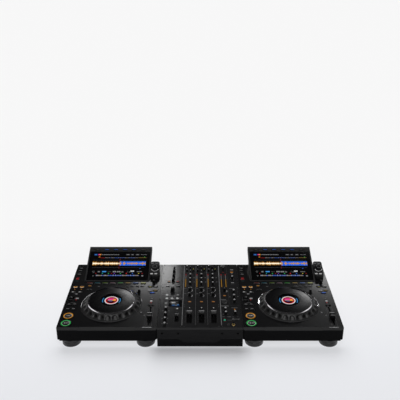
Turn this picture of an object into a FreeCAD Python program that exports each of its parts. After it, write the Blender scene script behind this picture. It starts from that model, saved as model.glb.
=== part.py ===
"""Twin disc-player DJ console: two media players with jog wheels and raised screens, and a three-channel
mixer between them. Millimetres; +Z up, X to the right, Y away from the user. The origin is on the floor
under the middle of the console. Each node is written to parts/NODE.step.

Every unit is modelled on its own datum: x from its centre line, y from its front face, z from the floor.
"""

import FreeCAD, Part
import math
import os

V = FreeCAD.Vector

# ---- overall sizes
PLAYER_W = 330.0        # width of one player
MIXER_W = 284.0         # width of the mixer
UNIT_GAP = 0.5          # the units stand side by side
OVERALL_D = 459.0       # front face to the back of the screen head
DECK_D = 412.0          # front face to the rear wall of a case
DECK_Z = 79.0           # height of all three decks above the floor

# ---- clearances
KEY_GAP = 0.6           # round a key in its hole
SHAFT_GAP = 0.6         # round a knob shaft in its hole
REST_GAP = 0.3          # between a seated moving piece and what holds it
RUN_GAP = 0.05          # running fit of the jog hub on its bearings
SEAT_GAP = 0.3          # round a fixed window, socket or trim piece in its recess
UNDER_GAP = 0.6         # under a knob, a fader cap and the other pieces that pass over a deck

# ---- player case
COVER_T = 3.0           # wall and top of the moulded cover
CORNER_R = 5.0          # upright corners of the cover
CORNER_STEPS = 3        # flats round a rounded corner
BEVEL = 7.0             # bevel along the front edge of the deck
SCOOP_W, SCOOP_T = 192.0, 1.0   # shallow scoop in the middle of the bevel
SKIRT_Z = 34.0          # bottom edge of the cover
PAN_T = 1.5             # sheet of the base pan
PAN_INSET = 6.0         # pan wall behind the cover's faces
PAN_WALL = 30.0         # height of the pan walls
FOOT_H, FOOT_R = 25.0, 32.2
FOOT_SOLE = 1.5         # bevel round the sole
FOOT_X = 125.0          # foot centre from the player's centre line
FOOT_EDGE = 35.5        # foot centre from the front and rear edges
REAR_GAP = 0.5          # rear panel inside the cover's rear wall
REAR_W = 250.0          # window in the rear wall
REAR_TOP = 66.0         # its upper edge
REAR_LAP = 5.0          # the panel reaches this far past the window
BOSS_R, BOSS_INSET = 4.5, 12.5       # front pan screws, in the corners
REAR_BOSS_X, REAR_BOSS_EDGE = 75.0, 22.0     # rear pan screws, from the middle and the rear wall
SCREW_R, SCREW_LEN, SCREW_HEAD_R, SCREW_HEAD_H = 1.5, 12.0, 3.0, 2.0

# ---- jog wheel, on the player's centre line; heights from the deck
JOG_Y = 140.0
JOG_R = 100.0
JOG_GAP = 1.5           # between the wheel and its well
WELL_T = 1.5            # wall of the well
WELL_DEPTH = 9.0        # deck to the floor of the well
LIP_W, LIP_H = 5.0, 2.4     # surround ring on the deck
JOG_SKIRT = 6.0         # the wheel reaches this far into its well
SHOULDER_H = 4.0        # lower edge of the sloping shoulder
SHOULDER_W = 15.0       # from the rim in to its upper edge
SEAT_H = 16.0           # land that carries the plate
PLATE_INSET = 3.0       # top plate inside the shoulder's upper edge
RIM_W, RIM_H = 3.0, 4.0
DISH_H = 2.4            # thickness of the plate inside the rim
DIMPLES = 26            # finger flutes round the shoulder
JOG_SIDES = 2 * DIMPLES     # flats round the wheel, its plate and its well
DIMPLE_R, DIMPLE_DEPTH = 9.0, 2.2
FLUTE_SIDES = 9
LENS_R, LENS_T = 36.0, 4.0      # fixed display in the middle of the wheel
LENS_GAP = 0.8
POST_R, POST_FLANGE_R, POST_FLANGE_T = 9.0, 20.0, 2.0
BEARING_R, BEARING_T = 14.0, 6.0
HUB_H = 9.0             # top of the hub

# ---- screen head and selector block
SCREEN_TILT = 18.5      # degrees from the deck
SCREEN_Y = 289.0        # where the tilted face starts
SCREEN_LIFT = 2.0       # its height above the deck there
SCREEN_X0, SCREEN_X1 = -121.5, 120.5
HEAD_T = 20.0           # thickness of the overhanging head
HEAD_WALL = 3.0
FACE_WALL = 5.0
NECK_Y = 398.0          # back of the neck on the deck
GLASS_W, GLASS_S0, GLASS_S1 = 230.0, 4.5, 147.5     # width, and edges measured up the slope
GLASS_T, GLASS_SINK = 2.0, 0.2
MENU_S, MENU_PITCH, MENU_COUNT = 156.0, 35.0, 6
MENU_X = -89.0
MENU_W, MENU_D = 22.0, 4.6
BLOCK_X0, BLOCK_X1 = 121.0, 154.5
BLOCK_Y0, BLOCK_Y1 = 307.0, 374.5
BLOCK_H = 14.0          # height of the block's front wall
BLOCK_R = 8.0
BLOCK_WALL = 2.5
BROWSE_S = 35.0         # knob centre up the block's slope
DISH_R, DISH_SINK = 15.0, 1.2
BROWSE_R, BROWSE_H = 11.5, 13.0

# ---- keys: (x from centre line, y from front, width, depth), or (x, y, radius) for a round one
KEY_H = 1.8             # stands above the deck
KEY_TRAVEL = 0.8
KEY_DROP = 2.0          # reaches this far below the cover
ROUND_SIDES = 16        # flats round the larger round keys, feet and posts
BOARD_T = 1.6
CUE_XY, PLAY_XY, CUE_R, CUE_H = (-137.0, 68.0), (-137.0, 26.5), 17.3, 3.0
CUE_RING, CUE_DISH = 3.6, 0.8   # raised ring round the face
CUE_SIDES = 20
PAD_Y, PAD_PITCH, PAD_COUNT, PAD_W, PAD_D = 275.0, 28.2, 8, 20.0, 9.0
PLAYER_ROUND_KEYS = [(-146.5, 251.0, 8.5), (-123.0, 251.0, 8.5), (136.5, 174.0, 4.2), (136.5, 158.5, 4.2),
                     (107.0, 88.0, 2.6)]
PLAYER_KEYS = [(-147.0, 216.0, 13.0, 6.0), (-122.5, 216.0, 13.0, 6.0), (-148.0, 136.5, 15.0, 8.5),
               (-129.0, 136.5, 15.0, 8.5), (-147.5, 109.0, 15.0, 8.5), (-128.5, 109.0, 15.0, 8.5),
               (-149.0, 381.0, 13.0, 5.0), (-149.0, 365.0, 13.0, 4.0), (-149.0, 338.0, 13.0, 5.0),
               (-149.0, 303.5, 13.0, 6.5), (-95.5, 256.0, 14.0, 5.0), (-99.0, 231.5, 7.0, 4.5),
               (-88.0, 231.5, 7.0, 4.5), (42.0, 254.5, 12.0, 5.5), (58.5, 254.5, 12.0, 5.5),
               (79.0, 254.5, 12.0, 5.5), (95.5, 254.5, 12.0, 5.5), (125.5, 254.0, 16.0, 9.0),
               (145.5, 254.0, 16.0, 9.0), (126.5, 226.5, 15.0, 7.5), (146.0, 226.5, 15.0, 7.5),
               (136.2, 210.5, 19.0, 7.5)]

# ---- player knobs, lever, tempo fader and memory slot
SHAFT_R, SHAFT_LEN = 3.0, 10.0
KNOB_SIDES = 12         # flats round a grip
SMALL_SIDES = 8         # flats round a boss or a small knob
SHAFT_SIDES = 6         # flats round a shaft, pin or screw
TOUCH_XY, TOUCH_R, TOUCH_H = (88.5, 213.5), 6.3, 13.0
ADJUST_XY, ADJUST_R, ADJUST_H = (137.5, 276.5), 6.6, 14.0
LEVER_XY = (-147.0, 172.0)
LEVER_WELL_W, LEVER_WELL_D, LEVER_WELL_DEPTH = 19.0, 27.0, 10.0
LEVER_W, LEVER_HUB_R, LEVER_SINK, LEVER_H = 12.0, 6.0, 2.5, 9.0
LEVER_PIN_R = 1.6
TEMPO_X, TEMPO_Y0, TEMPO_Y1 = 137.5, 13.0, 137.0    # sunk track
TEMPO_W, TEMPO_SINK = 20.0, 1.0
TEMPO_TRAVEL, TEMPO_REST = 96.0, -11.0              # full travel, and the cap's place from the middle
TEMPO_CAP = (17.5, 20.0, 13.0)      # width, depth and height of a fader cap
CH_CAP, FX_CAP = (17.5, 12.0, 10.0), (13.0, 12.0, 10.0)
CREST, CREST_IN, VALLEY = 1.4, 2.0, 1.2         # flat of a cap's crest, its place from the edge, half the valley
VALLEY_DEEP = 0.28      # valley, as a share of the cap's height
SLOT_W, SLOT_END = 4.4, 2.0         # fader slot, and its length past the stem at each end
STEM_W, STEM_D = 2.6, 6.0
RAIL_W, RAIL_H, RAIL_WALL = 10.0, 10.0, 1.5
USB_XY, USB_W, USB_D, USB_DEPTH = (-149.0, 397.0), 13.4, 6.0, 12.0
USB_WALL = 0.8

# ---- mixer
TOP_T = 2.0             # top panel
CASE_T = 1.5            # sheet of the case
MIX_FOOT_H, MIX_FOOT_R, MIX_FOOT_EDGE = 5.0, 10.0, 22.0
MIX_BEVEL = 5.0
FRONT_T = 2.5           # front panel plate
FRONT_Z = 36.0          # its lower edge
TAB_Z, TAB_TOP, TAB_LOW = 22.5, 72.0, 52.0          # trapezoid tab: lower edge, half widths
FRONT_HOLES_X, FRONT_HOLE_Z, FRONT_HOLE_R = (-125.0, -72.0, 72.0, 125.0), 59.0, 3.6
RIB_X, RIB_W, RIB_H = (-60.0, -15.5, 26.0, 71.0), 3.0, 0.8
RIB_Y0, RIB_Y1 = 15.0, 402.0
CHANNEL_X = (-36.2, 5.3, 46.8)
EQ_NAMES, EQ_Y = ("high", "mid", "low"), (325.0, 296.0, 267.0)
EQ_R, EQ_H = 5.8, 12.0
SMALL_R, SMALL_H = 4.6, 10.0
MID_R, MID_H = 6.6, 12.0
LARGE_R, LARGE_H = 9.0, 15.0
STRIP_SMALL = [(-13.5, 388.0), (-13.5, 362.0), (-0.5, 382.0), (0.0, 354.0), (10.5, 362.0)]
STRIP_MID = [(0.0, 229.0), (0.0, 194.0)]
SMALL_KNOBS = [(-98.0, 380.0), (88.2, 372.0)]
MID_KNOBS = [(-98.0, 354.0), (-98.5, 323.0), (-99.0, 293.0), (-117.3, 106.0), (-117.3, 75.0),
             (-117.3, 45.0), (-117.3, 16.0), (88.6, 225.0), (120.5, 215.5), (120.5, 183.3),
             (120.5, 152.5), (87.3, 103.0), (87.8, 80.0), (119.5, 82.0), (120.0, 308.0)]
LARGE_KNOBS = [(-98.4, 225.0)]
MIX_ROUND_KEYS = [(-36.2, 154.0, 5.6), (5.3, 154.0, 5.6), (46.8, 154.0, 5.6), (87.3, 191.7, 5.6),
                  (-117.1, 197.0, 4.8), (-78.7, 197.0, 4.8), (-117.1, 175.0, 4.8), (-98.8, 175.0, 4.8),
                  (-80.1, 175.0, 4.8), (-119.0, 145.5, 4.8), (-78.3, 112.0, 4.2), (82.5, 46.5, 3.4)]
MIX_KEYS = [(-114.0, 285.0, 12.0, 6.0), (-83.0, 285.0, 13.0, 6.0), (-117.5, 255.0, 13.0, 6.0),
            (-98.5, 255.0, 10.0, 6.0), (-79.0, 255.0, 13.0, 6.0), (120.0, 351.5, 13.0, 6.5)]
CH_FADER_MID, CH_FADER_TRAVEL, CH_FADER_REST = 65.0, 60.0, 13.0
FX_FADER_XY, FX_FADER_TRAVEL, FX_FADER_REST = (-78.5, 62.0), 40.0, 4.0
WINDOW = (-110.0, -63.0, 125.0, 167.0)      # edges of the effect display: x, then y
WINDOW_FRAME = 2.0      # its frame under the panel, past the glass
METER_X, METER_W = (-53.0, -11.5, 30.0, 79.3, 95.4), 4.0
METER_Y0, METER_Y1 = 251.0, 344.0
PHONES_XY, PHONES_R, PHONES_LEN = (111.0, 19.5), 3.2, 14.0
PHONES_WALL = 2.6

# ---- worked out from the above
FRONT_Y = -OVERALL_D / 2
PLAYER_X = MIXER_W / 2 + UNIT_GAP + PLAYER_W / 2
SIDES = (("left", -PLAYER_X), ("right", PLAYER_X))
COVER_UNDER = DECK_Z - COVER_T
PANEL_UNDER = DECK_Z - TOP_T
PAN_TOP = FOOT_H + PAN_T
CASE_FLOOR = MIX_FOOT_H + CASE_T
KEY_BOARD_TOP = COVER_UNDER - KEY_DROP - KEY_TRAVEL - REST_GAP
WELL_FLOOR = DECK_Z - WELL_DEPTH
WELL_R = JOG_R + JOG_GAP
SHOULDER_R = JOG_R - SHOULDER_W
PLATE_R = SHOULDER_R - PLATE_INSET
REAR_FACE = DECK_D - COVER_T - REAR_GAP
BOSS_XY = [(sx * (PLAYER_W / 2 - BOSS_INSET), BOSS_INSET) for sx in (-1, 1)]
BOSS_XY += [(sx * REAR_BOSS_X, DECK_D - REAR_BOSS_EDGE) for sx in (-1, 1)]
PAD_X = [PAD_PITCH * (i - (PAD_COUNT - 1) / 2) for i in range(PAD_COUNT)]


# ---- shape helpers
def box(x0, x1, y0, y1, z0, z1):
    """Block between two corners."""
    return Part.makeBox(x1 - x0, y1 - y0, z1 - z0, V(x0, y0, z0))


def post(radius, x, y, z0, z1):
    """Upright disc or post at the wheel's number of flats."""
    return flats(x, y, z0, radius, z1, radius, JOG_SIDES)


def prism(points, x0, x1):
    """Solid with a (y, z) outline, from x0 to x1."""
    corners = [V(x0, y, z) for y, z in points]
    return Part.Face(Part.makePolygon(corners + corners[:1])).extrude(V(x1 - x0, 0, 0))


def plate(points, z0, z1):
    """Solid with an (x, y) outline, from z0 to z1."""
    corners = [V(x, y, z0) for x, y in points]
    return Part.Face(Part.makePolygon(corners + corners[:1])).extrude(V(0, 0, z1 - z0))


def slab(x0, x1, y0, y1, z0, z1, radius):
    """Block with upright corners rounded in a few steps."""
    corners = ((x1 - radius, y1 - radius, 0), (x0 + radius, y1 - radius, 90), (x0 + radius, y0 + radius, 180),
               (x1 - radius, y0 + radius, 270))
    points = []
    for x, y, start in corners:
        for step in range(CORNER_STEPS + 1):
            a = math.radians(start + 90 * step / CORNER_STEPS)
            points.append((x + radius * math.cos(a), y + radius * math.sin(a)))
    return plate(points, z0, z1)


def moved(shape, x=0.0, y=0.0, z=0.0):
    """Copy of a shape, shifted."""
    copy = shape.copy()
    copy.translate(V(x, y, z))
    return copy


def ring_of(x, y, z, radius, sides):
    """Corners of a regular outline, with a flat facing the user."""
    turns = [2 * math.pi * (i + 0.5) / sides for i in range(sides)]
    return [V(x + radius * math.sin(a), y - radius * math.cos(a), z) for a in turns]


def flats(x, y, z0, r0, z1, r1, sides):
    """Upright tapered piece with flats instead of a round side."""
    low, high = ring_of(x, y, z0, r0, sides), ring_of(x, y, z1, r1, sides)
    faces = [Part.Face(Part.makePolygon(low + low[:1])), Part.Face(Part.makePolygon(high + high[:1]))]
    for i in range(sides):
        j = (i + 1) % sides
        faces.append(Part.Face(Part.makePolygon([low[i], low[j], high[j], high[i], low[i]])))
    return Part.makeSolid(Part.makeShell(faces))


def tube(x, y, outer, inner, z0, z1, sides):
    """Upright ring with an (outer, inner) radius; the inner one is measured across the flats."""
    bore = inner / math.cos(math.pi / sides)
    return flats(x, y, z0, outer, z1, outer, sides).cut(flats(x, y, z0 - 1, bore, z1 + 1, bore, sides))


def stacked(x, y, levels, sides):
    """Flat-sided piece built up from (radius, z) levels; two levels at one height make a step."""
    pieces = []
    for (r0, z0), (r1, z1) in zip(levels[:-1], levels[1:]):
        if z1 > z0:
            pieces.append(flats(x, y, z0, r0, z1, r1, sides))
    return united(pieces)


def across(x0, x1, y, z, radius, sides):
    """Flat-sided bar along X."""
    turns = [2 * math.pi * (i + 0.5) / sides for i in range(sides)]
    return prism([(y + radius * math.cos(a), z + radius * math.sin(a)) for a in turns], x0, x1)


def united(shapes):
    """One solid from shapes that meet."""
    return shapes[0].multiFuse(shapes[1:]).removeSplitter()


def write(node, shapes, unit_x=0.0):
    """One STEP file, with the unit's datum put in its place in the console."""
    parts = []
    for shape in shapes:
        parts += moved(shape, unit_x, FRONT_Y).Solids
    Part.makeCompound(parts).exportStep("parts/%s.step" % node)


def tilted(shape, y, z):
    """A shape drawn flat, laid on a slope that starts at y, z; its y then runs up the slope."""
    copy = shape.copy()
    copy.rotate(V(0, 0, 0), V(1, 0, 0), SCREEN_TILT)
    copy.translate(V(0, y, z))
    return copy


def on_screen(shape):
    """A flat shape laid on the screen's face."""
    return tilted(shape, SCREEN_Y, DECK_Z + SCREEN_LIFT)


def on_block(shape):
    """A flat shape laid on the selector block."""
    return tilted(shape, BLOCK_Y0, DECK_Z + BLOCK_H)


# ---- player case
def screw_hole(x, y, z0, z1):
    """Six-sided clearance hole round a pan screw."""
    return flats(x, y, z0, SCREW_R + SEAT_GAP, z1, SCREW_R + SEAT_GAP, 6)


def case_block(inset, bottom):
    """The cover's outline with its front bevel, moved in by a wall thickness."""
    w = PLAYER_W / 2 - inset
    near, far = inset, DECK_D - inset
    top = DECK_Z - inset
    slope_y = BEVEL + inset * math.tan(math.radians(22.5))
    slope_z = DECK_Z - slope_y
    body = slab(-w, w, near, far, bottom, top, CORNER_R - inset / 2)
    side = [(near, bottom), (near, slope_z), (slope_y, top), (far, top), (far, bottom)]
    return body.common(prism(side, -w, w))


def scoop():
    """Wedge that sinks the middle of the front bevel, with slanting ends."""
    cut = SCOOP_T * math.sqrt(2)
    half = SCOOP_W / 2
    side = [(-1, DECK_Z - BEVEL - cut - 1), (BEVEL + cut + 1, DECK_Z + 1), (-1, DECK_Z + 1)]
    wedge = prism(side, -half, half)
    ends = plate([(-half, -1), (half, -1), (half - BEVEL, BEVEL + cut + 1), (-half + BEVEL, BEVEL + cut + 1)],
                 DECK_Z - 2 * BEVEL, DECK_Z + 1)
    return wedge.common(ends)


def key_sides(key):
    """Flats round a round key, by its size."""
    if key[2] >= CUE_R:
        return CUE_SIDES
    return ROUND_SIDES if key[2] > 6 else KNOB_SIDES


def key_hole(key, gap, z0, z1):
    """Block or cylinder round a key, with a gap all round."""
    if len(key) == 3:
        x, y, r = key[0], key[1], key[2] + gap
        return flats(x, y, z0, r, z1, r, key_sides(key))
    x, y, w, d = key
    return box(x - w / 2 - gap, x + w / 2 + gap, y - d / 2 - gap, y + d / 2 + gap, z0, z1)


def pad_keys():
    """The row of hot cue pads."""
    return [(x, PAD_Y, PAD_W, PAD_D) for x in PAD_X]


def cue_keys():
    """The two large round keys."""
    return [CUE_XY + (CUE_R,), PLAY_XY + (CUE_R,)]


def fader_slot(x, y_mid, travel):
    """Long hole for a fader stem."""
    half = travel / 2 + STEM_D / 2 + SLOT_END
    return box(x - SLOT_W / 2, x + SLOT_W / 2, y_mid - half, y_mid + half, DECK_Z - RAIL_H, DECK_Z + 1)


def shaft_hole(x, y, z0, z1):
    """Eight-sided hole that clears a turning shaft."""
    r = (SHAFT_R + SHAFT_GAP) / math.cos(math.pi / 8)
    return flats(x, y, z0, r, z1, r, 8)


def lever_well(gap, depth):
    """Block round the direction lever, down from the deck."""
    x, y = LEVER_XY
    w, d = LEVER_WELL_W / 2 + gap, LEVER_WELL_D / 2 + gap
    return box(x - w, x + w, y - d, y + d, DECK_Z - depth, DECK_Z)


def top_cover():
    """Moulded upper case: shell, jog well, lever well, holes and screw bosses."""
    shell = case_block(0, SKIRT_Z).cut(case_block(COVER_T, SKIRT_Z - 1))
    bosses = [flats(x, y, PAN_TOP, BOSS_R, COVER_UNDER + 1, BOSS_R, SMALL_SIDES) for x, y in BOSS_XY]
    well = post(WELL_R + WELL_T, 0, JOG_Y, WELL_FLOOR - WELL_T, DECK_Z - 1)
    stiff = [shell, well, lever_well(WELL_T, LEVER_WELL_DEPTH + WELL_T)] + bosses
    body = united(stiff)
    cuts = [post(WELL_R, 0, JOG_Y, WELL_FLOOR, DECK_Z + 1), lever_well(0, LEVER_WELL_DEPTH), scoop()]
    keys = PLAYER_KEYS + PLAYER_ROUND_KEYS + pad_keys() + cue_keys()
    cuts += [key_hole(key, KEY_GAP, KEY_BOARD_TOP, DECK_Z + 1) for key in keys]
    cuts += [shaft_hole(x, y, COVER_UNDER - 1, DECK_Z + 1) for x, y in (TOUCH_XY, ADJUST_XY)]
    cuts.append(box(TEMPO_X - TEMPO_W / 2, TEMPO_X + TEMPO_W / 2, TEMPO_Y0, TEMPO_Y1, DECK_Z - TEMPO_SINK,
                    DECK_Z + 1))
    cuts.append(fader_slot(TEMPO_X, (TEMPO_Y0 + TEMPO_Y1) / 2, TEMPO_TRAVEL))
    x, y = USB_XY
    cuts.append(box(x - USB_W / 2 - USB_WALL - SEAT_GAP, x + USB_W / 2 + USB_WALL + SEAT_GAP,
                    y - USB_D / 2 - USB_WALL - SEAT_GAP, y + USB_D / 2 + USB_WALL + SEAT_GAP,
                    COVER_UNDER - 1, DECK_Z + 1))
    cuts.append(box(-REAR_W / 2, REAR_W / 2, DECK_D - COVER_T - 1, DECK_D + 1, SKIRT_Z - 1, REAR_TOP))
    cuts += [screw_hole(x, y, PAN_TOP - 1, PAN_TOP + SCREW_LEN + 1) for x, y in BOSS_XY]
    reach = (LEVER_WELL_W + WELL_T) / 2
    cuts.append(across(LEVER_XY[0] - reach, LEVER_XY[0] + reach, LEVER_XY[1], DECK_Z - LEVER_SINK - 1.0,
                       SEAT_GAP + LEVER_PIN_R, SMALL_SIDES))
    return body.cut(cuts[:1]).cut(cuts[1:])


def base_pan():
    """Folded sheet pan; its rear wall stands up as the socket panel."""
    w = PLAYER_W / 2 - PAN_INSET
    floor_z, wall_z = FOOT_H, FOOT_H + PAN_WALL
    outer = box(-w, w, PAN_INSET, REAR_FACE, floor_z, wall_z)
    inner = box(-w + PAN_T, w - PAN_T, PAN_INSET + PAN_T, REAR_FACE - PAN_T, floor_z + PAN_T, wall_z + 1)
    half = REAR_W / 2 + REAR_LAP
    panel = box(-half, half, REAR_FACE - PAN_T, REAR_FACE, floor_z, REAR_TOP + REAR_LAP)
    pan = united([outer.cut(inner), panel])
    holes = [screw_hole(x, y, floor_z - 1, floor_z + PAN_T + 1) for x, y in BOSS_XY]
    holes += [socket_body(s, REAR_FACE, SEAT_GAP) for s in PLAYER_SOCKETS]
    holes += [jack_hole(x, z, REAR_FACE) for x, z in PLAYER_JACKS]
    return pan.cut(holes)


def player_feet():
    """Wide rubber feet with a bevelled sole."""
    r, h = FOOT_R, FOOT_H
    levels = [(r - FOOT_SOLE, 0), (r, FOOT_SOLE), (r, h)]
    places = [(sx * FOOT_X, y) for sx in (-1, 1) for y in (FOOT_EDGE, DECK_D - FOOT_EDGE)]
    return [stacked(x, y, levels, ROUND_SIDES) for x, y in places]


# ---- jog wheel
def jog_ring():
    """The wheel's body: hub bore, land for the plate and a sloping shoulder with finger flutes."""
    d = DECK_Z
    low, top = d - JOG_SKIRT, d + SEAT_H
    levels = [(JOG_R, low), (JOG_R, d + SHOULDER_H), (SHOULDER_R, top)]
    bore = (BEARING_R + RUN_GAP) / math.cos(math.pi / JOG_SIDES)
    cuts = [post(LENS_R + LENS_GAP, 0, JOG_Y, d + HUB_H, top + 1), post(bore, 0, JOG_Y, low - 1, top + 1)]
    run, rise = JOG_R - SHOULDER_R, SEAT_H - SHOULDER_H
    length = math.hypot(run, rise)
    away = DIMPLE_R - DIMPLE_DEPTH
    flute = flats(0, 0, -length, DIMPLE_R, length, DIMPLE_R, FLUTE_SIDES)
    flute.rotate(V(0, 0, 0), V(0, 0, 1), 90)
    flute.rotate(V(0, 0, 0), V(0, 1, 0), -math.degrees(math.atan2(run, rise)))
    flute.translate(V((JOG_R + SHOULDER_R) / 2 + away * rise / length, 0,
                      d + (SEAT_H + SHOULDER_H) / 2 + away * run / length))
    for i in range(DIMPLES):
        cut = flute.copy()
        cut.rotate(V(0, 0, 0), V(0, 0, 1), 360 * i / DIMPLES - 90)
        cut.translate(V(0, JOG_Y, 0))
        cuts.append(cut)
    return stacked(0, JOG_Y, levels, JOG_SIDES).cut(cuts)


def jog_plate():
    """Dished top plate with a raised rim, resting on the wheel's land."""
    z = DECK_Z + SEAT_H
    body = tube(0, JOG_Y, PLATE_R, LENS_R + LENS_GAP, z, z + RIM_H, JOG_SIDES)
    return body.cut(flats(0, JOG_Y, z + DISH_H, PLATE_R - RIM_W, z + RIM_H + 0.1, PLATE_R, JOG_SIDES))


def jog_spindle():
    """Fixed post in the well that carries the bearings and the display."""
    z0 = WELL_FLOOR
    top = DECK_Z + SEAT_H + DISH_H - LENS_T
    levels = [(POST_R + 3, z0), (POST_R + 3, z0 + POST_FLANGE_T), (POST_R, z0 + POST_FLANGE_T),
              (POST_R, top - POST_FLANGE_T), (POST_FLANGE_R, top - POST_FLANGE_T), (POST_FLANGE_R, top)]
    return stacked(0, JOG_Y, levels, ROUND_SIDES)


def jog_bearings():
    """Two ball races on the post, drawn as rings."""
    first = WELL_FLOOR + POST_FLANGE_T
    second = DECK_Z + HUB_H - BEARING_T
    inner = POST_R + RUN_GAP
    return [tube(0, JOG_Y, BEARING_R, inner, z, z + BEARING_T, ROUND_SIDES) for z in (first, second)]


def jog_lens():
    """Round display that stays still while the wheel turns."""
    top = DECK_Z + SEAT_H + DISH_H
    return post(LENS_R, 0, JOG_Y, top - LENS_T, top)


def jog_surround():
    """Ring on the deck round the well, bevelled outwards."""
    outer = WELL_R + LIP_W
    body = flats(0, JOG_Y, DECK_Z, outer, DECK_Z + LIP_H, outer - 1.5, JOG_SIDES)
    return body.cut(post(WELL_R, 0, JOG_Y, DECK_Z - 1, DECK_Z + LIP_H + 1))


# ---- screen head
def head_outline(wall, face_wall):
    """(y, z) outline of the head and its neck, moved in by the wall thicknesses."""
    s, c = math.sin(math.radians(SCREEN_TILT)), math.cos(math.radians(SCREEN_TILT))
    length = (OVERALL_D - SCREEN_Y - HEAD_T * s) / c
    slope = s / c

    def face(distance, depth):
        return (SCREEN_Y + distance * c + depth * s, DECK_Z + SCREEN_LIFT + distance * s - depth * c)

    near = SCREEN_Y + wall
    bottom = DECK_Z if wall == 0 else DECK_Z - 1
    start = face(0, face_wall)
    front_top = (near, start[1] + (near - start[0]) * slope)
    top = face(length - wall, face_wall)
    under = face(length - wall, HEAD_T - wall)
    neck = NECK_Y - wall
    neck_top = (neck, under[1] - (under[0] - neck) * slope)
    points = [front_top, top, under, neck_top, (neck, bottom), (near, bottom)]
    if front_top[1] < bottom:
        points[0] = (near + (bottom - front_top[1]) / slope, bottom)
        points.pop()
    return points


def menu_holes(gap, n0, n1):
    """Blocks round the menu keys, drawn flat."""
    places = [MENU_X + MENU_PITCH * i for i in range(MENU_COUNT)]
    return [key_hole((x, MENU_S, MENU_W, MENU_D), gap, n0, n1) for x in places]


def screen_housing():
    """Moulded head on a neck: hollow, with a sunk seat for the glass and holes for the menu keys."""
    outer = prism(head_outline(0, 0), SCREEN_X0, SCREEN_X1)
    inner = prism(head_outline(HEAD_WALL, FACE_WALL), SCREEN_X0 + HEAD_WALL, SCREEN_X1 - HEAD_WALL)
    middle = (SCREEN_X0 + SCREEN_X1) / 2
    half = GLASS_W / 2 + SEAT_GAP
    seat = box(middle - half, middle + half, GLASS_S0 - SEAT_GAP, GLASS_S1 + SEAT_GAP, -GLASS_T - GLASS_SINK, 2)
    cuts = [on_screen(shape) for shape in [seat] + menu_holes(KEY_GAP, -FACE_WALL - 2, 2)]
    return outer.cut(inner).cut(cuts)


def screen_glass():
    """Flat glass in the head's seat."""
    middle = (SCREEN_X0 + SCREEN_X1) / 2
    half = GLASS_W / 2
    return on_screen(box(middle - half, middle + half, GLASS_S0, GLASS_S1, -GLASS_T - GLASS_SINK, -GLASS_SINK))


def menu_keys():
    """Slim keys along the top of the head, one body each, with their flanges."""
    keys = []
    for i in range(MENU_COUNT):
        x = MENU_X + MENU_PITCH * i
        keys.append(on_screen(key_solid((x, MENU_S, MENU_W, MENU_D), 0, KEY_H - 0.3, -FACE_WALL)))
    return keys


# ---- selector block
def block_shell(inset, bottom):
    """Rounded block with the screen's slope on top."""
    x0, x1 = BLOCK_X0 + inset, BLOCK_X1 - inset
    y0, y1 = BLOCK_Y0 + inset, BLOCK_Y1 - inset
    slope = math.tan(math.radians(SCREEN_TILT))
    drop = inset / math.cos(math.radians(SCREEN_TILT))
    low = DECK_Z + BLOCK_H - drop + inset * slope
    high = low + (y1 - y0) * slope
    side = [(y0, bottom), (y0, low), (y1, high), (y1, bottom)]
    return slab(x0, x1, y0, y1, bottom, high, BLOCK_R - inset).common(prism(side, x0, x1))


def block_centre():
    """Middle of the selector block, across the player."""
    return (BLOCK_X0 + BLOCK_X1) / 2


def selector_block():
    """Hollow block beside the screen, dished round its knob."""
    shell = block_shell(0, DECK_Z).cut(block_shell(BLOCK_WALL, DECK_Z - 1))
    x = block_centre()
    dish = flats(x, BROWSE_S, -DISH_SINK, DISH_R, 3, DISH_R, ROUND_SIDES)
    hole = shaft_hole(x, BROWSE_S, -BLOCK_WALL - 2, 3)
    return shell.cut([on_block(dish), on_block(hole)])


def browse_knob():
    """Wide selector knob on the block's slope."""
    x = block_centre()
    base = UNDER_GAP - DISH_SINK
    r = BROWSE_R
    skirt = flats(x, BROWSE_S, base, r, base + 3, r, ROUND_SIDES)
    grip = flats(x, BROWSE_S, base + 2, r - 1.2, BROWSE_H, r - 2.4, ROUND_SIDES)
    shaft = flats(x, BROWSE_S, base - SHAFT_LEN, SHAFT_R, base + 1, SHAFT_R, SHAFT_SIDES)
    return on_block(united([skirt, grip, shaft]))


# ---- keys
def key_solid(key, z_deck, height, z_under):
    """A key that stands above the deck and reaches its switch under it."""
    low, top = z_under - KEY_DROP, z_deck + height
    if len(key) == 3:
        x, y, r = key
        return flats(x, y, low, r, top, r, key_sides(key))
    return key_hole(key, 0, low, top)


def cue_key(place):
    """Large round key with a raised ring round its face."""
    x, y = place
    top = DECK_Z + CUE_H
    body = flats(x, y, COVER_UNDER - KEY_DROP, CUE_R, top, CUE_R, CUE_SIDES)
    return body.cut(flats(x, y, top - CUE_DISH, CUE_R - CUE_RING, top + 1, CUE_R - CUE_RING, CUE_SIDES))


# ---- knobs, lever, faders
def knob(x, y, radius, height):
    """Turning knob: skirt, tapered grip and shaft, with a pointer groove."""
    z0, z1 = DECK_Z + UNDER_GAP, DECK_Z + height
    skirt = flats(x, y, z0, radius, z0 + 2.0, radius - 0.4, KNOB_SIDES)
    grip = flats(x, y, z0 + 1.5, radius - 0.9, z1, radius - 1.7, KNOB_SIDES)
    shaft = flats(x, y, z0 - SHAFT_LEN, SHAFT_R, z0 + 1, SHAFT_R, SHAFT_SIDES)
    mark = box(x - 0.5, x + 0.5, y + radius * 0.3, y + radius, z1 - 0.6, z1 + 1)
    return united([skirt, grip, shaft]).cut(mark)


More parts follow.
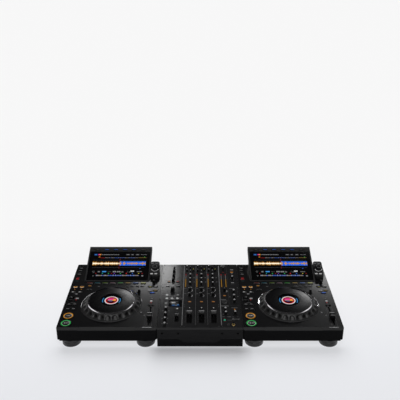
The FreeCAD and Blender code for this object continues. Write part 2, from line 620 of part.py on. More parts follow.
def direction_lever():
    """Rocker lever on a cross pin."""
    x, y = LEVER_XY
    z = DECK_Z - LEVER_SINK - 1.0
    half = LEVER_W / 2
    hub = across(x - half, x + half, y, z, LEVER_HUB_R, KNOB_SIDES)
    reach = (LEVER_WELL_W + WELL_T) / 2 - REST_GAP
    pin = across(x - reach, x + reach, y, z, LEVER_PIN_R, SHAFT_SIDES)
    top = DECK_Z + LEVER_H
    side = [(y - 4.4, z), (y - 2.6, top - 1), (y - 1.6, top), (y + 1.6, top), (y + 2.6, top - 1), (y + 4.4, z)]
    return united([hub, pin, prism(side, x - half, x + half)])


def fader_cap(x, y, size, z_floor):
    """Fader cap with two crests and a finger valley, on a flat stem."""
    width, depth, height = size
    z0 = z_floor + UNDER_GAP
    top = DECK_Z + height
    half = depth / 2
    near, far = half - CREST_IN, half - CREST_IN - CREST
    valley = top - height * VALLEY_DEEP
    side = [(y - half, z0), (y - half + 1.0, top - 1.0), (y - near, top), (y - far, top), (y - VALLEY, valley),
            (y + VALLEY, valley), (y + far, top), (y + near, top), (y + half - 1.0, top - 1.0), (y + half, z0)]
    cap = prism(side, x - width / 2, x + width / 2)
    stem = box(x - STEM_W / 2, x + STEM_W / 2, y - STEM_D / 2, y + STEM_D / 2,
               DECK_Z - RAIL_H + RAIL_WALL + UNDER_GAP - 1, z0 + 1)
    return united([cap, stem])


def fader_rail(x, y_mid, travel, z_top):
    """Channel under a slot in which the stem runs."""
    half = travel / 2 + STEM_D / 2 + SLOT_END + 4
    w = RAIL_W / 2
    z0 = DECK_Z - RAIL_H - 1
    outer = box(x - w, x + w, y_mid - half, y_mid + half, z0, z_top)
    inner = box(x - SLOT_W / 2, x + SLOT_W / 2, y_mid - half + 4, y_mid + half - 4, z0 + RAIL_WALL, z_top + 1)
    return outer.cut(inner)


def tempo_fader():
    """The long fader's cap at its place of rest."""
    y = (TEMPO_Y0 + TEMPO_Y1) / 2 + TEMPO_REST
    return fader_cap(TEMPO_X, y, TEMPO_CAP, DECK_Z - TEMPO_SINK)


# ---- sockets: (x, z, flange width, flange height, body width, body height, hole width, hole height, depth)
INLET = (30.0, 23.0, 27.0, 19.6, 24.4, 16.6, 15.0)
NETWORK = (17.0, 15.0, 15.6, 13.4, 11.8, 8.4, 12.0)
USB_B = (13.0, 12.0, 11.6, 10.4, 8.6, 7.6, 10.0)
PLAYER_SOCKETS = [(-100.0, 46.0) + INLET, (-20.0, 46.0) + NETWORK, (10.0, 46.0) + USB_B]
MIXER_SOCKETS = [(-112.0, 40.0) + INLET, (-70.0, 40.0) + NETWORK, (-45.0, 40.0) + USB_B]
PLAYER_JACKS = [(50.0, 46.0), (66.0, 46.0), (90.0, 46.0)]
MIXER_JACKS = [(x, z) for x in (-12.0, 10.0, 32.0, 54.0) for z in (30.0, 50.0)]
MIXER_XLR = [(92.0, 40.0), (120.0, 40.0)]
JACK_FLANGE_R, JACK_R, JACK_LEN, JACK_BODY = 6.0, 4.15, 8.5, 9.0
XLR_FLANGE, XLR_R, XLR_HOLE_R, XLR_DEPTH = 25.0, 10.5, 8.6, 14.0
SOCKET_FLANGE = 1.5
SOCKET_SIDES = 8        # flats round a barrel
SOCKET_WALL = 1.5


def socket_body(socket, face_y, gap):
    """Block that passes through the panel."""
    x, z, _, _, w, h, _, _, depth = socket
    return box(x - w / 2 - gap, x + w / 2 + gap, face_y - depth - SOCKET_WALL, face_y + 1, z - h / 2 - gap,
               z + h / 2 + gap)


def socket(spec, face_y):
    """Panel socket with its flange and cavity."""
    x, z, fw, fh, _, _, hole_w, hole_h, depth = spec
    flange = box(x - fw / 2, x + fw / 2, face_y, face_y + SOCKET_FLANGE, z - fh / 2, z + fh / 2)
    hole = box(x - hole_w / 2, x + hole_w / 2, face_y - depth, face_y + 2 * SOCKET_FLANGE, z - hole_h / 2,
               z + hole_h / 2)
    return united([flange, socket_body(spec, face_y, 0)]).cut(hole)


def along_y(radius, x, z, y0, y1, sides):
    """Flat-sided bar along Y."""
    bar = flats(0, 0, y0, radius, y1, radius, sides)
    bar.rotate(V(0, 0, 0), V(1, 0, 0), -90)
    bar.translate(V(x, 0, z))
    return bar


def jack(x, z, face_y):
    """Signal jack: square flange and barrel."""
    r = JACK_FLANGE_R
    flange = box(x - r, x + r, face_y, face_y + SOCKET_FLANGE, z - r, z + r)
    barrel = along_y(JACK_R, x, z, face_y - JACK_BODY, face_y + SOCKET_FLANGE + JACK_LEN, SOCKET_SIDES)
    return united([flange, barrel])


def jack_hole(x, z, face_y):
    """Square hole behind a jack's flange."""
    r = JACK_R + SEAT_GAP
    return box(x - r, x + r, face_y - 4, face_y + 1, z - r, z + r)


def xlr(x, z, face_y):
    """Three-pin output in a square flange."""
    half = XLR_FLANGE / 2
    flange = box(x - half, x + half, face_y, face_y + SOCKET_FLANGE, z - half, z + half)
    body = along_y(XLR_R, x, z, face_y - XLR_DEPTH - SOCKET_WALL, face_y + 0.5, 2 * SOCKET_SIDES)
    hole = along_y(XLR_HOLE_R, x, z, face_y - XLR_DEPTH, face_y + 2 * SOCKET_FLANGE, 2 * SOCKET_SIDES)
    return united([flange, body]).cut(hole)


def memory_port():
    """Shell of the memory-stick port, upright in the deck."""
    x, y = USB_XY
    w, d = USB_W / 2, USB_D / 2
    outer = box(x - w - USB_WALL, x + w + USB_WALL, y - d - USB_WALL, y + d + USB_WALL,
                DECK_Z - USB_DEPTH - USB_WALL, DECK_Z)
    return outer.cut(box(x - w, x + w, y - d, y + d, DECK_Z - USB_DEPTH, DECK_Z + 1))


def headphone_jack():
    """Bushing of the headphone socket in the top panel; its bore is round."""
    x, y = PHONES_XY
    top = DECK_Z + 0.8
    outer = flats(x, y, top - PHONES_LEN, PHONES_R + PHONES_WALL, top, PHONES_R + PHONES_WALL, ROUND_SIDES)
    return outer.cut(Part.makeCylinder(PHONES_R, PHONES_LEN + 2, V(x, y, top - PHONES_LEN - 1)))


# ---- mixer
def mixer_case():
    """Open-topped sheet case."""
    w = MIXER_W / 2
    z0, z1 = MIX_FOOT_H, PANEL_UNDER
    outer = box(-w, w, FRONT_T, DECK_D, z0, z1)
    inner = box(-w + CASE_T, w - CASE_T, FRONT_T + CASE_T, DECK_D - CASE_T, z0 + CASE_T, z1 + 1)
    lip = box(-w - 1, w + 1, 0, MIX_BEVEL + TOP_T, DECK_Z - MIX_BEVEL, z1 + 1)
    holes = [socket_body(s, DECK_D, SEAT_GAP) for s in MIXER_SOCKETS]
    holes += [jack_hole(x, z, DECK_D) for x, z in MIXER_JACKS]
    holes += [along_y(XLR_R + SEAT_GAP, x, z, DECK_D - 4, DECK_D + 1, 2 * SOCKET_SIDES) for x, z in MIXER_XLR]
    holes += [along_y(SCREW_R + SEAT_GAP, x, FRONT_HOLE_Z, 0, FRONT_T + 4, 6) for x in FRONT_HOLES_X]
    return outer.cut([inner, lip] + holes)


def window_block(gap, z0, z1):
    """Block of the effect display's outline."""
    x0, x1, y0, y1 = WINDOW
    return box(x0 - gap, x1 + gap, y0 - gap, y1 + gap, z0, z1)


def meter_block(x, gap, z0, z1):
    """Upright strip of a level meter."""
    w = METER_W / 2 + gap
    return box(x - w, x + w, METER_Y0 - gap, METER_Y1 + gap, z0, z1)


def mixer_knob_places():
    """(x, y, radius, height) of the knobs that share the fixed node."""
    places = [(c + x, y, SMALL_R, SMALL_H) for c in CHANNEL_X for x, y in STRIP_SMALL]
    places += [(c + x, y, MID_R, MID_H) for c in CHANNEL_X for x, y in STRIP_MID]
    places += [(x, y, SMALL_R, SMALL_H) for x, y in SMALL_KNOBS]
    places += [(x, y, MID_R, MID_H) for x, y in MID_KNOBS]
    places += [(x, y, LARGE_R, LARGE_H) for x, y in LARGE_KNOBS]
    return places


def mixer_top_panel():
    """Folded panel with its front bevel, ribs between the strips and every control's hole."""
    w = MIXER_W / 2
    b, t = MIX_BEVEL, TOP_T
    side = [(0, DECK_Z - b), (b, DECK_Z), (DECK_D, DECK_Z), (DECK_D, DECK_Z - t),
            (b - t + t * math.sqrt(2), DECK_Z - t), (t * math.sqrt(2), DECK_Z - b)]
    sheet = prism(side, -w, w)
    ribs = [box(x - RIB_W / 2, x + RIB_W / 2, RIB_Y0, RIB_Y1, DECK_Z - 1, DECK_Z + RIB_H) for x in RIB_X]
    panel = united([sheet] + ribs)
    low, high = PANEL_UNDER - 1, DECK_Z + 2
    cuts = [key_hole(key, KEY_GAP, low, high) for key in MIX_KEYS + MIX_ROUND_KEYS]
    cuts += [shaft_hole(c, y, low, high) for c in CHANNEL_X for y in EQ_Y]
    cuts += [fader_slot(c, CH_FADER_MID, CH_FADER_TRAVEL) for c in CHANNEL_X]
    cuts.append(fader_slot(FX_FADER_XY[0], FX_FADER_XY[1], FX_FADER_TRAVEL))
    cuts += [meter_block(x, SEAT_GAP, low, high) for x in METER_X]
    cuts.append(window_block(SEAT_GAP, low, high))
    cuts.append(key_hole(PHONES_XY + (PHONES_R + PHONES_WALL,), SEAT_GAP, low, high))
    return panel.cut(cuts)


def mixer_front_panel():
    """Front plate with its trapezoid tab and four sunk screw holes."""
    w = MIXER_W / 2
    outline = [(-w, DECK_Z - MIX_BEVEL), (w, DECK_Z - MIX_BEVEL), (w, FRONT_Z), (TAB_TOP, FRONT_Z),
               (TAB_LOW, TAB_Z), (-TAB_LOW, TAB_Z), (-TAB_TOP, FRONT_Z), (-w, FRONT_Z)]
    corners = [V(x, 0, z) for x, z in outline]
    sheet = Part.Face(Part.makePolygon(corners + corners[:1])).extrude(V(0, FRONT_T, 0))
    holes = [along_y(FRONT_HOLE_R, x, FRONT_HOLE_Z, -1, FRONT_T + 1, KNOB_SIDES) for x in FRONT_HOLES_X]
    return sheet.cut(holes)


def mixer_displays():
    """The effect display and the five level meters, each held under the panel."""
    glass = window_block(0, PANEL_UNDER - 0.5, DECK_Z - 0.3)
    frame = window_block(WINDOW_FRAME, PANEL_UNDER - 3.0, PANEL_UNDER)
    solids = [united([glass, frame])]
    for x in METER_X:
        bar = meter_block(x, 0, PANEL_UNDER - 0.5, DECK_Z - 0.3)
        solids.append(united([bar, meter_block(x, 1.5, PANEL_UNDER - 2.5, PANEL_UNDER)]))
    return solids


def fixed_knob(x, y, radius, height):
    """Small tapered knob on the deck."""
    return flats(x, y, DECK_Z, radius, DECK_Z + height, radius - 1.4, SMALL_SIDES)


def mixer_feet():
    """Low rubber feet."""
    w = MIXER_W / 2 - MIX_FOOT_EDGE
    return [flats(sx * w, y, 0, MIX_FOOT_R, MIX_FOOT_H, MIX_FOOT_R, KNOB_SIDES) for sx in (-1, 1)
            for y in (MIX_FOOT_EDGE, DECK_D - MIX_FOOT_EDGE)]


def panel_screw(x, z):
    """Screw through the front plate into the case."""
    head = along_y(SCREW_HEAD_R, x, z, FRONT_T - 1.2, FRONT_T, 6)
    return united([head, along_y(SCREW_R, x, z, FRONT_T - 0.5, FRONT_T + 6, 6)])


def case_screw(x, y):
    """Pan screw: six-sided head under the pan, shank in the boss."""
    head = flats(x, y, FOOT_H - SCREW_HEAD_H, SCREW_HEAD_R, FOOT_H, SCREW_HEAD_R, 6)
    return united([head, flats(x, y, FOOT_H - 0.5, SCREW_R, FOOT_H + SCREW_LEN, SCREW_R, 6)])


# ---- inner boards
STUD_W, STUD_IN = 4.0, 7.0      # square studs, and how far they stand inside the side strips
LEFT_STUDS_Y, RIGHT_STUDS_Y, MID_STUD_Y = (84.0, 160.0, 292.0), (196.0, 292.0), 263.0
BOARD_EDGE, BOARD_SIDE = 6.0, 111.0         # key board inside the cover, and its side strips' inner edge
BOARD_Y0, BOARD_Y1, BOARD_MID_Y1 = 8.0, 300.0, 284.0
BOARD_CLEAR = 2.0       # key board round what passes through it
BOARD_OFF_RAIL = 12.0   # its right strip starts this far behind the tempo track
POST_W, POST_H, POST_EDGE = 6.0, 6.0, 8.0   # square posts under a main board
MAIN_BOARD = (-100.0, 100.0, 250.0, 360.0)
MIXER_BOARD = (-90.0, 90.0, 240.0, 360.0)
SUPPLY = (-152.0, -106.0, 290.0, 385.0)
MIXER_SUPPLY = (-130.0, -100.0, 60.0, 220.0)
SUPPLY_H = 26.0
CHIP, CHIP_H = (-20.0, 20.0, 30.0, 70.0), 3.0       # on the board, from its middle and its near edge
HEAT_SINK, HEAT_SINK_H = (36.0, 60.0, 24.0, 60.0), 8.0


def square_post(x, y, reach, z0, z1):
    """Square post or hole with a given reach from its centre."""
    return box(x - reach, x + reach, y - reach, y + reach, z0, z1)


def key_board():
    """Board under the keys, cut round the jog well, on short studs under the cover."""
    z0, z1 = KEY_BOARD_TOP - BOARD_T, KEY_BOARD_TOP
    edge = PLAYER_W / 2 - BOARD_EDGE
    well = WELL_R + WELL_T
    left = box(-edge, -BOARD_SIDE, BOARD_Y0, BOARD_Y1, z0, z1)
    back = box(-BOARD_SIDE - 1, BOARD_SIDE + 1, JOG_Y + well + BOARD_CLEAR, BOARD_MID_Y1, z0, z1)
    right = box(BOARD_SIDE, edge, TEMPO_Y1 + BOARD_OFF_RAIL, BOARD_Y1, z0, z1)
    board = united([left, back, right])
    cuts = [post(well + BOARD_CLEAR, 0, JOG_Y, z0 - 1, z1 + 1)]
    cuts.append(lever_well(WELL_T + BOARD_CLEAR, DECK_Z - z0 + 1))
    cuts += [square_post(x, y, SHAFT_R + BOARD_CLEAR, z0 - 1, z1 + 1) for x, y in (TOUCH_XY, ADJUST_XY)]
    cuts += [square_post(x, y, BOSS_R + BOARD_CLEAR, z0 - 1, z1 + 1) for x, y in BOSS_XY]
    reach = BOARD_SIDE + STUD_IN
    places = [(-reach, y) for y in LEFT_STUDS_Y] + [(reach, y) for y in RIGHT_STUDS_Y]
    places.append((0, MID_STUD_Y))
    studs = [square_post(x, y, STUD_W / 2, z1, COVER_UNDER) for x, y in places]
    return united([board.cut(cuts)] + studs)


def main_board(edges, floor_z):
    """Board on four posts with its main chip and a heat sink."""
    x0, x1, y0, y1 = edges
    z0 = floor_z + POST_H
    z1 = z0 + BOARD_T
    middle = (x0 + x1) / 2
    solids = [box(x0, x1, y0, y1, z0, z1)]
    for x in (x0 + POST_EDGE, x1 - POST_EDGE):
        for y in (y0 + POST_EDGE, y1 - POST_EDGE):
            solids.append(square_post(x, y, POST_W / 2, floor_z, z0))
    for (cx0, cx1, cy0, cy1), height in ((CHIP, CHIP_H), (HEAT_SINK, HEAT_SINK_H)):
        solids.append(box(middle + cx0, middle + cx1, y0 + cy0, y0 + cy1, z1, z1 + height))
    return solids


def power_supply(edges, floor_z):
    """Closed supply box on the floor of a case."""
    return box(*edges, floor_z, floor_z + SUPPLY_H)


# ---- writing the nodes
def write_player(side, x):
    write(side + "_top_cover", [COVER], x)
    write(side + "_base_pan", [base_pan()], x)
    write(side + "_screen_housing", [screen_housing()], x)
    write(side + "_jog_ring", [JOG_RING], x)
    write(side + "_jog_plate", [jog_plate()], x)
    write(side + "_tempo_fader", [tempo_fader()], x)
    write(side + "_cue_key", [cue_key(CUE_XY)], x)
    write(side + "_play_key", [cue_key(PLAY_XY)], x)
    write(side + "_hot_cue_pads", [key_solid(key, DECK_Z, KEY_H, COVER_UNDER) for key in pad_keys()], x)
    keys = PLAYER_KEYS + PLAYER_ROUND_KEYS
    write(side + "_deck_keys", [key_solid(key, DECK_Z, KEY_H, COVER_UNDER) for key in keys], x)
    write(side + "_menu_keys", menu_keys(), x)
    write(side + "_browse_knob", [browse_knob()], x)
    write(side + "_touch_knob", [knob(TOUCH_XY[0], TOUCH_XY[1], TOUCH_R, TOUCH_H)], x)
    write(side + "_jog_adjust_knob", [knob(ADJUST_XY[0], ADJUST_XY[1], ADJUST_R, ADJUST_H)], x)
    write(side + "_direction_lever", [direction_lever()], x)


def both(shapes):
    """The same pieces in the left and the right player."""
    return [moved(shape, x) for _, x in SIDES for shape in shapes]


os.makedirs("parts", exist_ok=True)
COVER = top_cover()
JOG_RING = jog_ring()
for SIDE, CENTRE in SIDES:
    write_player(SIDE, CENTRE)

write("screen_glasses", both([screen_glass()]))
write("selector_blocks", both([selector_block()]))
write("jog_surround_rings", both([jog_surround()]))
write("jog_spindles", both([jog_spindle()]))
write("jog_bearings", both(jog_bearings()))
write("jog_center_displays", both([jog_lens()]))

write("mixer_case", [mixer_case()])
write("mixer_top_panel", [mixer_top_panel()])
write("mixer_front_panel", [mixer_front_panel()])
write("mixer_displays", mixer_displays())
write("mixer_small_knobs", [fixed_knob(*place) for place in mixer_knob_places()])
write("mixer_keys", [key_solid(key, DECK_Z, KEY_H, PANEL_UNDER) for key in MIX_KEYS + MIX_ROUND_KEYS])
for NUMBER, CHANNEL in enumerate(CHANNEL_X, 1):
    write("channel%d_fader" % NUMBER, [fader_cap(CHANNEL, CH_FADER_MID + CH_FADER_REST, CH_CAP, DECK_Z)])
    for NAME, PLACE_Y in zip(EQ_NAMES, EQ_Y):
        write("channel%d_%s_knob" % (NUMBER, NAME), [knob(CHANNEL, PLACE_Y, EQ_R, EQ_H)])
write("effect_fader", [fader_cap(FX_FADER_XY[0], FX_FADER_XY[1] + FX_FADER_REST, FX_CAP, DECK_Z)])

RAILS = both([fader_rail(TEMPO_X, (TEMPO_Y0 + TEMPO_Y1) / 2, TEMPO_TRAVEL, COVER_UNDER)])
RAILS += [fader_rail(x, CH_FADER_MID, CH_FADER_TRAVEL, PANEL_UNDER) for x in CHANNEL_X]
RAILS.append(fader_rail(FX_FADER_XY[0], FX_FADER_XY[1], FX_FADER_TRAVEL, PANEL_UNDER))
write("fader_rails", RAILS)
write("rubber_feet", both(player_feet()) + mixer_feet())
SOCKETS = both([socket(s, REAR_FACE) for s in PLAYER_SOCKETS] + [memory_port()])
SOCKETS += [socket(s, DECK_D) for s in MIXER_SOCKETS] + [xlr(x, z, DECK_D) for x, z in MIXER_XLR]
SOCKETS += both([jack(x, z, REAR_FACE) for x, z in PLAYER_JACKS]) + [jack(x, z, DECK_D) for x, z in MIXER_JACKS]
write("sockets", SOCKETS + [headphone_jack()])
SCREWS = both([case_screw(x, y) for x, y in BOSS_XY]) + [panel_screw(x, FRONT_HOLE_Z) for x in FRONT_HOLES_X]
write("case_screws", SCREWS)
BOARDS = both([key_board(), power_supply(SUPPLY, PAN_TOP)] + main_board(MAIN_BOARD, PAN_TOP))
BOARDS += [power_supply(MIXER_SUPPLY, CASE_FLOOR)] + main_board(MIXER_BOARD, CASE_FLOOR)
write("circuit_boards", BOARDS)
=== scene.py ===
"""Looks of a DJ console: two media players with jog wheels and lit screens, and a three-channel mixer.

Laid out as an add-on. Each operator makes one piece, or one group of like pieces, on the frame's nodes.
Shapes are drawn in millimetres on a unit's deck or on a screen's slope, and then put in their place in metres.
"""

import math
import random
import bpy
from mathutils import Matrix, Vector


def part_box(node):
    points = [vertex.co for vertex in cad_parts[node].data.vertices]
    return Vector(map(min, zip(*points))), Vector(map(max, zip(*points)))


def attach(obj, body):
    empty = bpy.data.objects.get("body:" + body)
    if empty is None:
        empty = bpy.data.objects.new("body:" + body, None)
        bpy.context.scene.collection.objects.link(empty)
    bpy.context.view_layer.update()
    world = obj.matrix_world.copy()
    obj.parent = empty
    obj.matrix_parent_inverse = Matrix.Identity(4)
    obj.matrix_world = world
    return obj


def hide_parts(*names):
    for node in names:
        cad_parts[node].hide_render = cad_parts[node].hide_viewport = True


bl_info = {
    "name": "DJ Console Looks",
    "version": (1, 0, 0),
    "blender": (4, 5, 0),
    "location": "3D View > Sidebar > Console",
    "description": "Finishes and fine pieces for a console of two players and a mixer",
    "category": "Object",
}

import bmesh
import bpy
from mathutils import Matrix, Vector

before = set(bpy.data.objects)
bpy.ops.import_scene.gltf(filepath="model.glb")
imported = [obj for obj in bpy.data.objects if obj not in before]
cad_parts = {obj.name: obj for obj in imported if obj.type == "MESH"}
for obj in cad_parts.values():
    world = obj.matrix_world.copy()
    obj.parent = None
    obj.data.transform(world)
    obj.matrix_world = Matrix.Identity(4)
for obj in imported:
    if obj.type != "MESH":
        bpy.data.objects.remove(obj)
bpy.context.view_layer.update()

MM = 0.001
SIDES = ("left", "right")
ROOT = "console"


def middle(node):
    """Centre of a node's box."""
    low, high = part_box(node)
    return (low + high) / 2


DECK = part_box("left_top_cover")[1].z
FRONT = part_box("left_top_cover")[0].y
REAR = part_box("left_base_pan")[1].y
CENTRES = {side: middle(side + "_top_cover").x for side in SIDES}
CHANNELS = {number: middle("channel%d_fader" % number).x / MM for number in (1, 2, 3)}
TONES = ("high", "mid", "low")
JOG_Y = (middle("left_jog_ring").y - FRONT) / MM

# ---- the screens' slope: its angle, and where it starts on the deck
TILT = math.radians(18.5)
SCREEN_Y, SCREEN_LIFT = 289.0, 2.0
BLOCK_Y, BLOCK_LIFT = 307.0, 14.0

# ---- jog wheel, millimetres above the deck
WHEEL_R, WHEEL_LOW, SHOULDER_LOW = 100.0, -6.0, 4.0
SHOULDER_R, WHEEL_TOP = 85.0, 16.0
PLATE_R, PLATE_TOP, RIM_TOP = 82.0, 16.4, 20.0
CROWN, PLATE_DROP = 18.7, 1.6
LENS_R = 36.0


# ---- places
def on_deck(x=0.0):
    """From millimetres on a unit's deck to the frame."""
    return Matrix.Translation((x, FRONT, DECK)) @ Matrix.Scale(MM, 4)


def on_slope(side, y, lift):
    """From millimetres on a player's sloping face to the frame."""
    start = Matrix.Translation((CENTRES[side], FRONT + y * MM, DECK + lift * MM))
    return start @ Matrix.Rotation(TILT, 4, "X") @ Matrix.Scale(MM, 4)


def shifted(x, y, z=0.0):
    return Matrix.Translation((x, y, z))


def deck_box(low, high, centre=0.0):
    """A box in millimetres on the deck: x, y, half width, half depth, low, top."""
    return (((low[0] + high[0]) / 2 - centre) / MM, ((low[1] + high[1]) / 2 - FRONT) / MM,
            (high[0] - low[0]) / 2 / MM, (high[1] - low[1]) / 2 / MM, (low[2] - DECK) / MM, (high[2] - DECK) / MM)


ROUND_CORNERS = 8           # a solid with more corners than a plain block is round


def solids(node, centre=0.0):
    """The deck boxes of a node's separate solids, each followed by whether it is round."""
    mesh = merged_copy(node)
    left, found = set(mesh.verts), []
    for first in mesh.verts:
        if first not in left:
            continue
        left.discard(first)
        group = [first]
        for vert in group:
            near = {edge.other_vert(vert) for edge in vert.link_edges} & left
            left -= near
            group += near
        low, high = ([pick(vert.co[i] for vert in group) for i in range(3)] for pick in (min, max))
        found.append(deck_box(low, high, centre) + (len(group) > ROUND_CORNERS,))
    mesh.free()
    return found


# ---- shapes, in millimetres
def merged_copy(node):
    """A node's own shape, with its loose triangles joined."""
    shape = bmesh.new()
    shape.from_mesh(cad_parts[node].data)
    bmesh.ops.remove_doubles(shape, verts=shape.verts, dist=1e-6)
    return shape


def bevel(shape, edges, offset, steps):
    """Rounds some edges over."""
    bmesh.ops.bevel(shape, geom=edges, offset=offset, segments=steps, profile=0.5, affect="EDGES", material=-1)


def block(x0, x1, y0, y1, z0, z1, corner=0.0, edge=0.0):
    """Block with rounded upright corners and a rounded top edge."""
    shape = bmesh.new()
    bmesh.ops.create_cube(shape, size=1.0)
    bmesh.ops.scale(shape, vec=(x1 - x0, y1 - y0, z1 - z0), verts=shape.verts)
    bmesh.ops.translate(shape, vec=((x0 + x1) / 2, (y0 + y1) / 2, (z0 + z1) / 2), verts=shape.verts)
    if corner:
        bevel(shape, [e for e in shape.edges if abs(e.verts[0].co.z - e.verts[1].co.z) > 1e-6], corner, 3)
    if edge:
        bevel(shape, [e for e in shape.edges if min(v.co.z for v in e.verts) > z1 - 1e-6], edge, 2)
    return shape


def eased(points, radius, closed=False):
    """An outline with its corners cut to small curves."""
    smooth = []
    last = len(points) - 1
    for i, corner in enumerate(points):
        if not closed and i in (0, last):
            smooth.append(corner)
            continue
        here = Vector(corner)
        before, after = Vector(points[i - 1]) - here, Vector(points[(i + 1) % len(points)]) - here
        cut = min(radius, before.length * 0.45, after.length * 0.45)
        start, end = here + before.normalized() * cut, here + after.normalized() * cut
        smooth += [tuple(start), tuple(here * 0.5 + start * 0.25 + end * 0.25), tuple(end)]
    return smooth


def turned(points, steps, closed=False, angle=360, start=0):
    """Shape spun about Z from an (r, z) outline, all round or by some degrees."""
    shape = bmesh.new()
    turn = Matrix.Rotation(math.radians(start), 4, "Z")
    verts = [shape.verts.new(turn @ Vector((r, 0, z))) for r, z in points]
    pairs = list(zip(verts[:-1], verts[1:])) + ([(verts[-1], verts[0])] if closed else [])
    edges = [shape.edges.new(pair) for pair in pairs]
    bmesh.ops.spin(shape, geom=verts + edges, cent=(0, 0, 0), axis=(0, 0, 1), dvec=(0, 0, 0),
                   angle=math.radians(angle), steps=steps, use_merge=angle == 360)
    if angle < 360:
        bmesh.ops.holes_fill(shape, edges=[e for e in shape.edges if e.is_boundary], sides=0)
    bmesh.ops.remove_doubles(shape, verts=shape.verts, dist=1e-4)
    bmesh.ops.recalc_face_normals(shape, faces=shape.faces)
    return shape


def disc(radius, z0, z1, edge, steps):
    """Round plate."""
    rim = [(radius, z1 - edge), (radius - edge * 0.3, z1 - edge * 0.3), (radius - edge, z1)] if edge else [(radius, z1)]
    return turned([(0, z0), (radius, z0)] + rim + [(0, z1)], steps)


def band(r0, r1, z0, z1, steps, angle=360, start=0):
    """Flat ring, or a part of one."""
    return turned([(r0, z0), (r1, z0), (r1, z1), (r0, z1)], steps, True, angle, start)


def bar(x0, x1, y0, y1, z, thick):
    """Thin printed or lit strip."""
    return block(x0, x1, y0, y1, z, z + thick)


def squeezed(shape, share, teeth):
    """Pulls the chosen points of a turned shape inwards, which leaves ribs between them."""
    for vert in shape.verts:
        if teeth(math.atan2(vert.co.y, vert.co.x), vert.co.z):
            vert.co.x *= share
            vert.co.y *= share
    return shape


class Build:
    """Shapes gathered into one piece, each with its own finish."""

    def __init__(self):
        self.mesh = bmesh.new()
        self.finishes = []

    def add(self, shape, finish, place=None):
        """Takes in a shape, put in its place."""
        if finish not in self.finishes:
            self.finishes.append(finish)
        for face in shape.faces:
            face.material_index = self.finishes.index(finish)
        if place is not None:
            bmesh.ops.transform(shape, matrix=place, verts=shape.verts)
        part = bpy.data.meshes.new("part")
        shape.to_mesh(part)
        shape.free()
        self.mesh.from_mesh(part)
        bpy.data.meshes.remove(part)

    def marks(self, table, place, z=0.0, thick=0.05):
        """Takes in flat strips, listed by finish as (x, y, width, depth)."""
        for finish, rows in table.items():
            for x, y, width, depth in rows:
                self.add(bar(x - width / 2, x + width / 2, y - depth / 2, y + depth / 2, z, thick), finish, place)

    def piece(self, name, node=None, body=ROOT, sharp=35.0):
        """The finished piece, riding on its body, in a node's place or beside the nodes."""
        mesh = bpy.data.meshes.new(name)
        self.mesh.to_mesh(mesh)
        self.mesh.free()
        for finish in self.finishes:
            mesh.materials.append(material_of(finish))
        mesh.polygons.foreach_set("use_smooth", [True] * len(mesh.polygons))
        mesh.set_sharp_from_angle(angle=math.radians(sharp))
        made = bpy.data.objects.new(name, mesh)
        bpy.context.scene.collection.objects.link(made)
        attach(made, body)
        if node:
            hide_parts(node)

    def own_piece(self, name, node):
        """The finished piece, in a node's place on the node's own body."""
        self.piece(name, node, node + "_body")


# ---- shader maths
def shader_maths(operation, turned_round=False):
    """A Python operator that adds a Math node."""
    def act(value, *others):
        values = (value,) + others
        return value.paint.maths(operation, *(values[::-1] if turned_round else values))
    return act


class Value:
    """A number in a shader. Python's operators add Math nodes to it."""

    def __init__(self, paint, socket):
        self.paint, self.socket = paint, socket

    __add__ = __radd__ = shader_maths("ADD")
    __sub__, __rsub__ = shader_maths("SUBTRACT"), shader_maths("SUBTRACT", True)
    __mul__ = __rmul__ = shader_maths("MULTIPLY")
    __truediv__, __rtruediv__ = shader_maths("DIVIDE"), shader_maths("DIVIDE", True)
    __gt__, __lt__ = shader_maths("GREATER_THAN"), shader_maths("LESS_THAN")
    __abs__ = shader_maths("ABSOLUTE")


